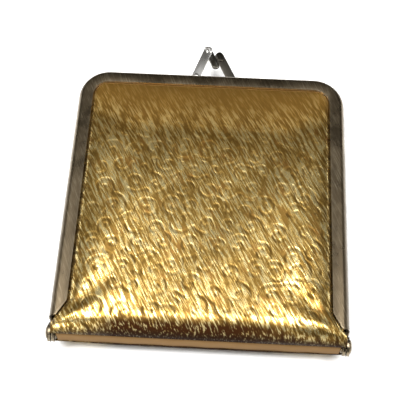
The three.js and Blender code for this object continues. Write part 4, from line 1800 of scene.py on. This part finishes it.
@dataclass
class MirrorSide:
    """The lid's mirror in its stamped gilt bezel, and the moire card round it."""

    corner: float = 4.0
    glass_corner: float = 2.4
    card_gap: float = 0.1

    def bezel(self) -> Surface:
        """The bezel: a section carried round the rounded rectangle.

        The section climbs the side wall, turns over a round bead, dips in a cove and comes back
        up to the sight edge over the glass.

        Returns:
            The bezel.
        """
        low, high = node_box("mirror_bezel")
        glass_low = float(node_box("mirror_glass")[0][2])
        outline = box_outline("mirror_bezel", (self.corner, self.corner), 16, 60)
        back, face = float(high[2]), float(low[2])
        section = [
            (0.0, back), (0.0, face + 0.5), (0.08, face + 0.2), (0.3, face + 0.03),
            (0.6, face), (0.95, face + 0.05), (1.25, face + 0.25), (1.5, face + 0.36),
            (1.9, face + 0.36), (2.3, face + 0.18), (2.7, face + 0.12), (3.1, face + 0.2),
            (3.35, face + 0.42), (3.4, glass_low - 0.03), (0.8, glass_low - 0.03), (0.8, back),
        ]
        loops = np.stack([at_height(shrunk(outline, inset), height) for inset, height in section])
        return loft(loops, wrap=True)

    def glass(self) -> Surface:
        """The mirror plate with a fine bevel.

        Returns:
            The plate.
        """
        low, high = node_box("mirror_glass")
        loop = box_outline("mirror_glass", (self.glass_corner, self.glass_corner), 10, 40)
        return soft_slab(loop, float(low[2]), float(high[2]), 0.12, 3)

    def card(self) -> Surface:
        """The silk-covered card: a flat ring between the bezel and the lid's rounded edge.

        Its lower edges are rounded, and its section is carried from one outline to the other.

        Returns:
            The card.
        """
        low, high = node_box("lid_lining")
        corner = self.corner + self.card_gap
        inner = box_outline("mirror_bezel", (corner, corner), 16, 60, self.card_gap)
        outer = box_outline("lid_lining", (0.6, 7.0), 16, 60)
        top, bottom = float(high[2]), float(low[2])
        section = [
            (outer, 0.0, top), (outer, 0.0, bottom + 0.25),
            (outer, 0.08, bottom + 0.07), (outer, 0.3, bottom),
            (inner, -0.3, bottom), (inner, -0.08, bottom + 0.07),
            (inner, 0.0, bottom + 0.25), (inner, 0.0, top),
        ]
        loops = np.stack([at_height(shrunk(loop, inset), height) for loop, inset, height in section])
        return loft(loops, wrap=True)

    def build(self) -> None:
        """Builds the bezel, the glass and the card."""
        bezel = add_object("stamped_bezel", self.bezel(), GILT_METAL, 50.0)
        fit_piece(bezel, "lid", "gilt_metal", "mirror_bezel")
        glass = add_object("mirror_plate", self.glass(), MIRROR, 30.0)
        fit_piece(glass, "lid", "mirror", "mirror_glass")
        card = add_object("moire_card", self.card(), MOIRE, 40.0)
        fit_piece(card, "lid", "moire_lining", "lid_lining")
        bpy.data.objects["mirror_backing"].data.materials[0] = BOARD.material()


# ---- Studio ---------------------------------------------------------------------------------


def aimed(place: np.ndarray, target: np.ndarray, roll_degrees: float = 0.0) -> tuple[float, ...]:
    """The rotation that points a camera or lamp from a place to a target, rolled about its axis."""
    look = Vector(tuple(target - place)).to_track_quat("-Z", "Y").to_matrix()
    return tuple((look @ Matrix.Rotation(math.radians(roll_degrees), 3, "Z")).to_euler())


@dataclass
class Lamp:
    """A rectangular soft light: its middle, its aim, its two sides and its brightness."""

    name: str
    place: tuple[float, float, float]
    target: tuple[float, float, float]
    size: tuple[float, float]
    brightness: float

    def build(self) -> None:
        """Adds the lamp; its power is its brightness times pi times its area."""
        data = bpy.data.lights.new(self.name, "AREA")
        data.shape = "RECTANGLE"
        data.size, data.size_y = self.size
        data.energy = self.brightness * math.pi * self.size[0] * self.size[1]
        lamp = bpy.data.objects.new(self.name, data)
        lamp.location = self.place
        lamp.rotation_euler = aimed(np.array(self.place), np.array(self.target))
        bpy.context.scene.collection.objects.link(lamp)


@dataclass
class Studio:
    """The camera, the pale floor, the lamps and the dim room round them."""

    camera_place: tuple[float, float, float] = (0.0049, -0.1344, 0.2569)
    camera_target: tuple[float, float, float] = (-0.0018, -0.0050, 0.010)
    camera_roll_degrees: float = 0.03
    lens: float = 81.0
    sensor_width: float = 36.0
    nearest_seen: float = 0.01
    floor_size: float = 3.0
    floor_height_mm: float = -0.02
    room: tuple[float, float, float] = (0.075, 0.07, 0.062)
    lamps: tuple[Lamp, ...] = (
        Lamp("overhead", (0.0, -0.06, 0.62), (0.0, -0.06, 0.0), (0.95, 0.44), 1.97),
        Lamp("left_high", (-0.25, -0.10, 0.60), (0.0, 0.0, 0.0), (0.20, 0.26), 23.0),
        Lamp("right_high", (0.25, -0.08, 0.60), (0.0, 0.0, 0.0), (0.16, 0.22), 17.0),
        Lamp("left_back", (-0.18, 0.07, 0.60), (0.0, 0.0, 0.0), (0.09, 0.12), 32.0),
        Lamp("right_back", (0.175, 0.065, 0.60), (0.0, 0.0, 0.0), (0.09, 0.11), 34.0),
        Lamp("left_front", (-0.36, -0.50, 0.17), (-0.03, -0.04, 0.0), (0.36, 0.24), 6.0),
        Lamp("left_low", (-0.75, 0.1, 0.30), (0.0, 0.0, 0.0), (0.5, 0.3), 1.6),
        Lamp("right_low", (0.80, 0.1, 0.30), (0.0, 0.0, 0.0), (0.5, 0.3), 1.3),
    )

    def floor(self) -> Surface:
        """The floor: a square grid of equal steps, a hair under the compact.

        Returns:
            The floor.
        """
        steps = 9
        run = np.linspace(-self.floor_size / 2, self.floor_size / 2, steps) / MM
        x, y = np.meshgrid(run, run)
        z = np.full(x.size, self.floor_height_mm)
        return Surface(np.stack([x.ravel(), y.ravel(), z], axis=1), grid_quads(steps, steps))

    def build(self) -> None:
        """Sets up the camera, the floor, the lamps and the room."""
        scene = bpy.context.scene
        data = bpy.data.cameras.new("camera")
        data.lens = self.lens
        data.sensor_width = self.sensor_width
        data.clip_start = self.nearest_seen
        camera = bpy.data.objects.new("camera", data)
        camera.location = self.camera_place
        place, target = np.array(self.camera_place), np.array(self.camera_target)
        camera.rotation_euler = aimed(place, target, self.camera_roll_degrees)
        scene.collection.objects.link(camera)
        scene.camera = camera
        add_object("floor", self.floor(), PaleFloor("pale_floor"))
        for lamp in self.lamps:
            lamp.build()
        world = bpy.data.worlds.new("room")
        world.use_nodes = True
        backdrop = world.node_tree.nodes["Background"]
        backdrop.inputs["Color"].default_value = (*self.room, 1.0)
        scene.world = world
        scene.view_settings.view_transform = "Standard"


# ---- The whole compact ------------------------------------------------------------------------

# How far the face of a lug lies below the arm that stands on it.
LUG_DROP = 0.7


def build_spine() -> None:
    """Builds the two sheets that go round the back of the compact."""
    SpineSheet(
        name="gilt_spine",
        node="spine_cover",
        slot="gilt_leathercloth",
        finish=SPINE_CLOTH,
        half_length=40.5,
        half_height=5.3,
        out_y=SPINE_Y + 0.25,
        thickness=0.45,
        bulge=0.3,
        tuck=0.9,
    ).build()
    SpineSheet(
        name="silk_spine_lining",
        node="spine_lining",
        slot="moire_lining",
        finish=MOIRE,
        half_length=40.0,
        half_height=5.05,
        out_y=SPINE_Y + 0.9,
        thickness=0.2,
        bulge=0.0,
        tuck=0.3,
    ).build()


def build_frames_and_clasp() -> None:
    """Builds the frames, the rivets and the clasp, whose arms lie just above their lugs."""
    front_root, back_root = joint_place("front_arm_flex"), joint_place("back_arm_flex")
    front_low = float(node_box("front_clasp_arm")[1][2]) - MID_Z - ClaspArm.thickness
    back_low = float(node_box("back_clasp_arm")[0][2]) - MID_Z
    top = float(node_box("front_clasp_arm")[1][1])
    SnapFrame(
        Half.FRONT,
        start_y=HINGE_Y + 3.2,
        ear_outer=HALF_WIDTH - SHEET - 2 * SEAM,
        lug_x=front_root[0],
        lug_low=front_low - LUG_DROP,
    ).build()
    SnapFrame(
        Half.BACK,
        start_y=HINGE_Y,
        ear_outer=HALF_WIDTH,
        lug_x=back_root[0],
        lug_low=back_low - LUG_DROP,
    ).build()
    for side in (-1, 1):
        HingeRivet(side).build()
    ClaspArm(
        name="front_spring_arm",
        body="front_clasp",
        node="front_clasp_arm",
        root=(front_root[0], front_root[1]),
        head=(-1.9, top - 1.4),
        low=front_low,
        finish=PAINTED_BRIGHT_STEEL,
        bent_to=(0.8, TOP_Y + 6.9),
        bent_half_width=1.3,
        bent_low=front_low - 0.7,
        bent_high=front_low + 0.3,
        ribs=2,
    ).build()
    ClaspArm(
        name="back_spring_arm",
        body="back_clasp",
        node="back_clasp_arm",
        root=(back_root[0], back_root[1]),
        head=(1.9, top - 1.5),
        low=back_low,
        finish=PAINTED_DARK_STEEL,
        bent_to=(2.5, top - 3.0),
        bent_half_width=1.1,
        bent_low=back_low + 0.6,
        bent_high=back_low + 1.5,
    ).build()


def build_outside() -> None:
    """Builds the padded boards, the spine, the frames, the rivets and the clasp."""
    for half in Half:
        PaddedCover(half, GILT_CLOTH).build()
    build_spine()
    build_frames_and_clasp()


def build_inside() -> None:
    """Builds the powder side and the mirror side."""
    low, high = node_box("powder_cake")
    centre_y = float(low[1] + high[1]) / 2
    deck_top = float(node_box("powder_tray")[1][2]) - MID_Z
    PowderTray(centre_y, deck_top).build()
    Puff(centre_y).build()
    MirrorSide().build()


def main() -> None:
    """Builds the studio and the compact."""
    logging.basicConfig(level=logging.INFO, format="%(name)s: %(message)s")
    Studio().build()
    build_outside()
    build_inside()


if __name__ == "__main__":
    main()
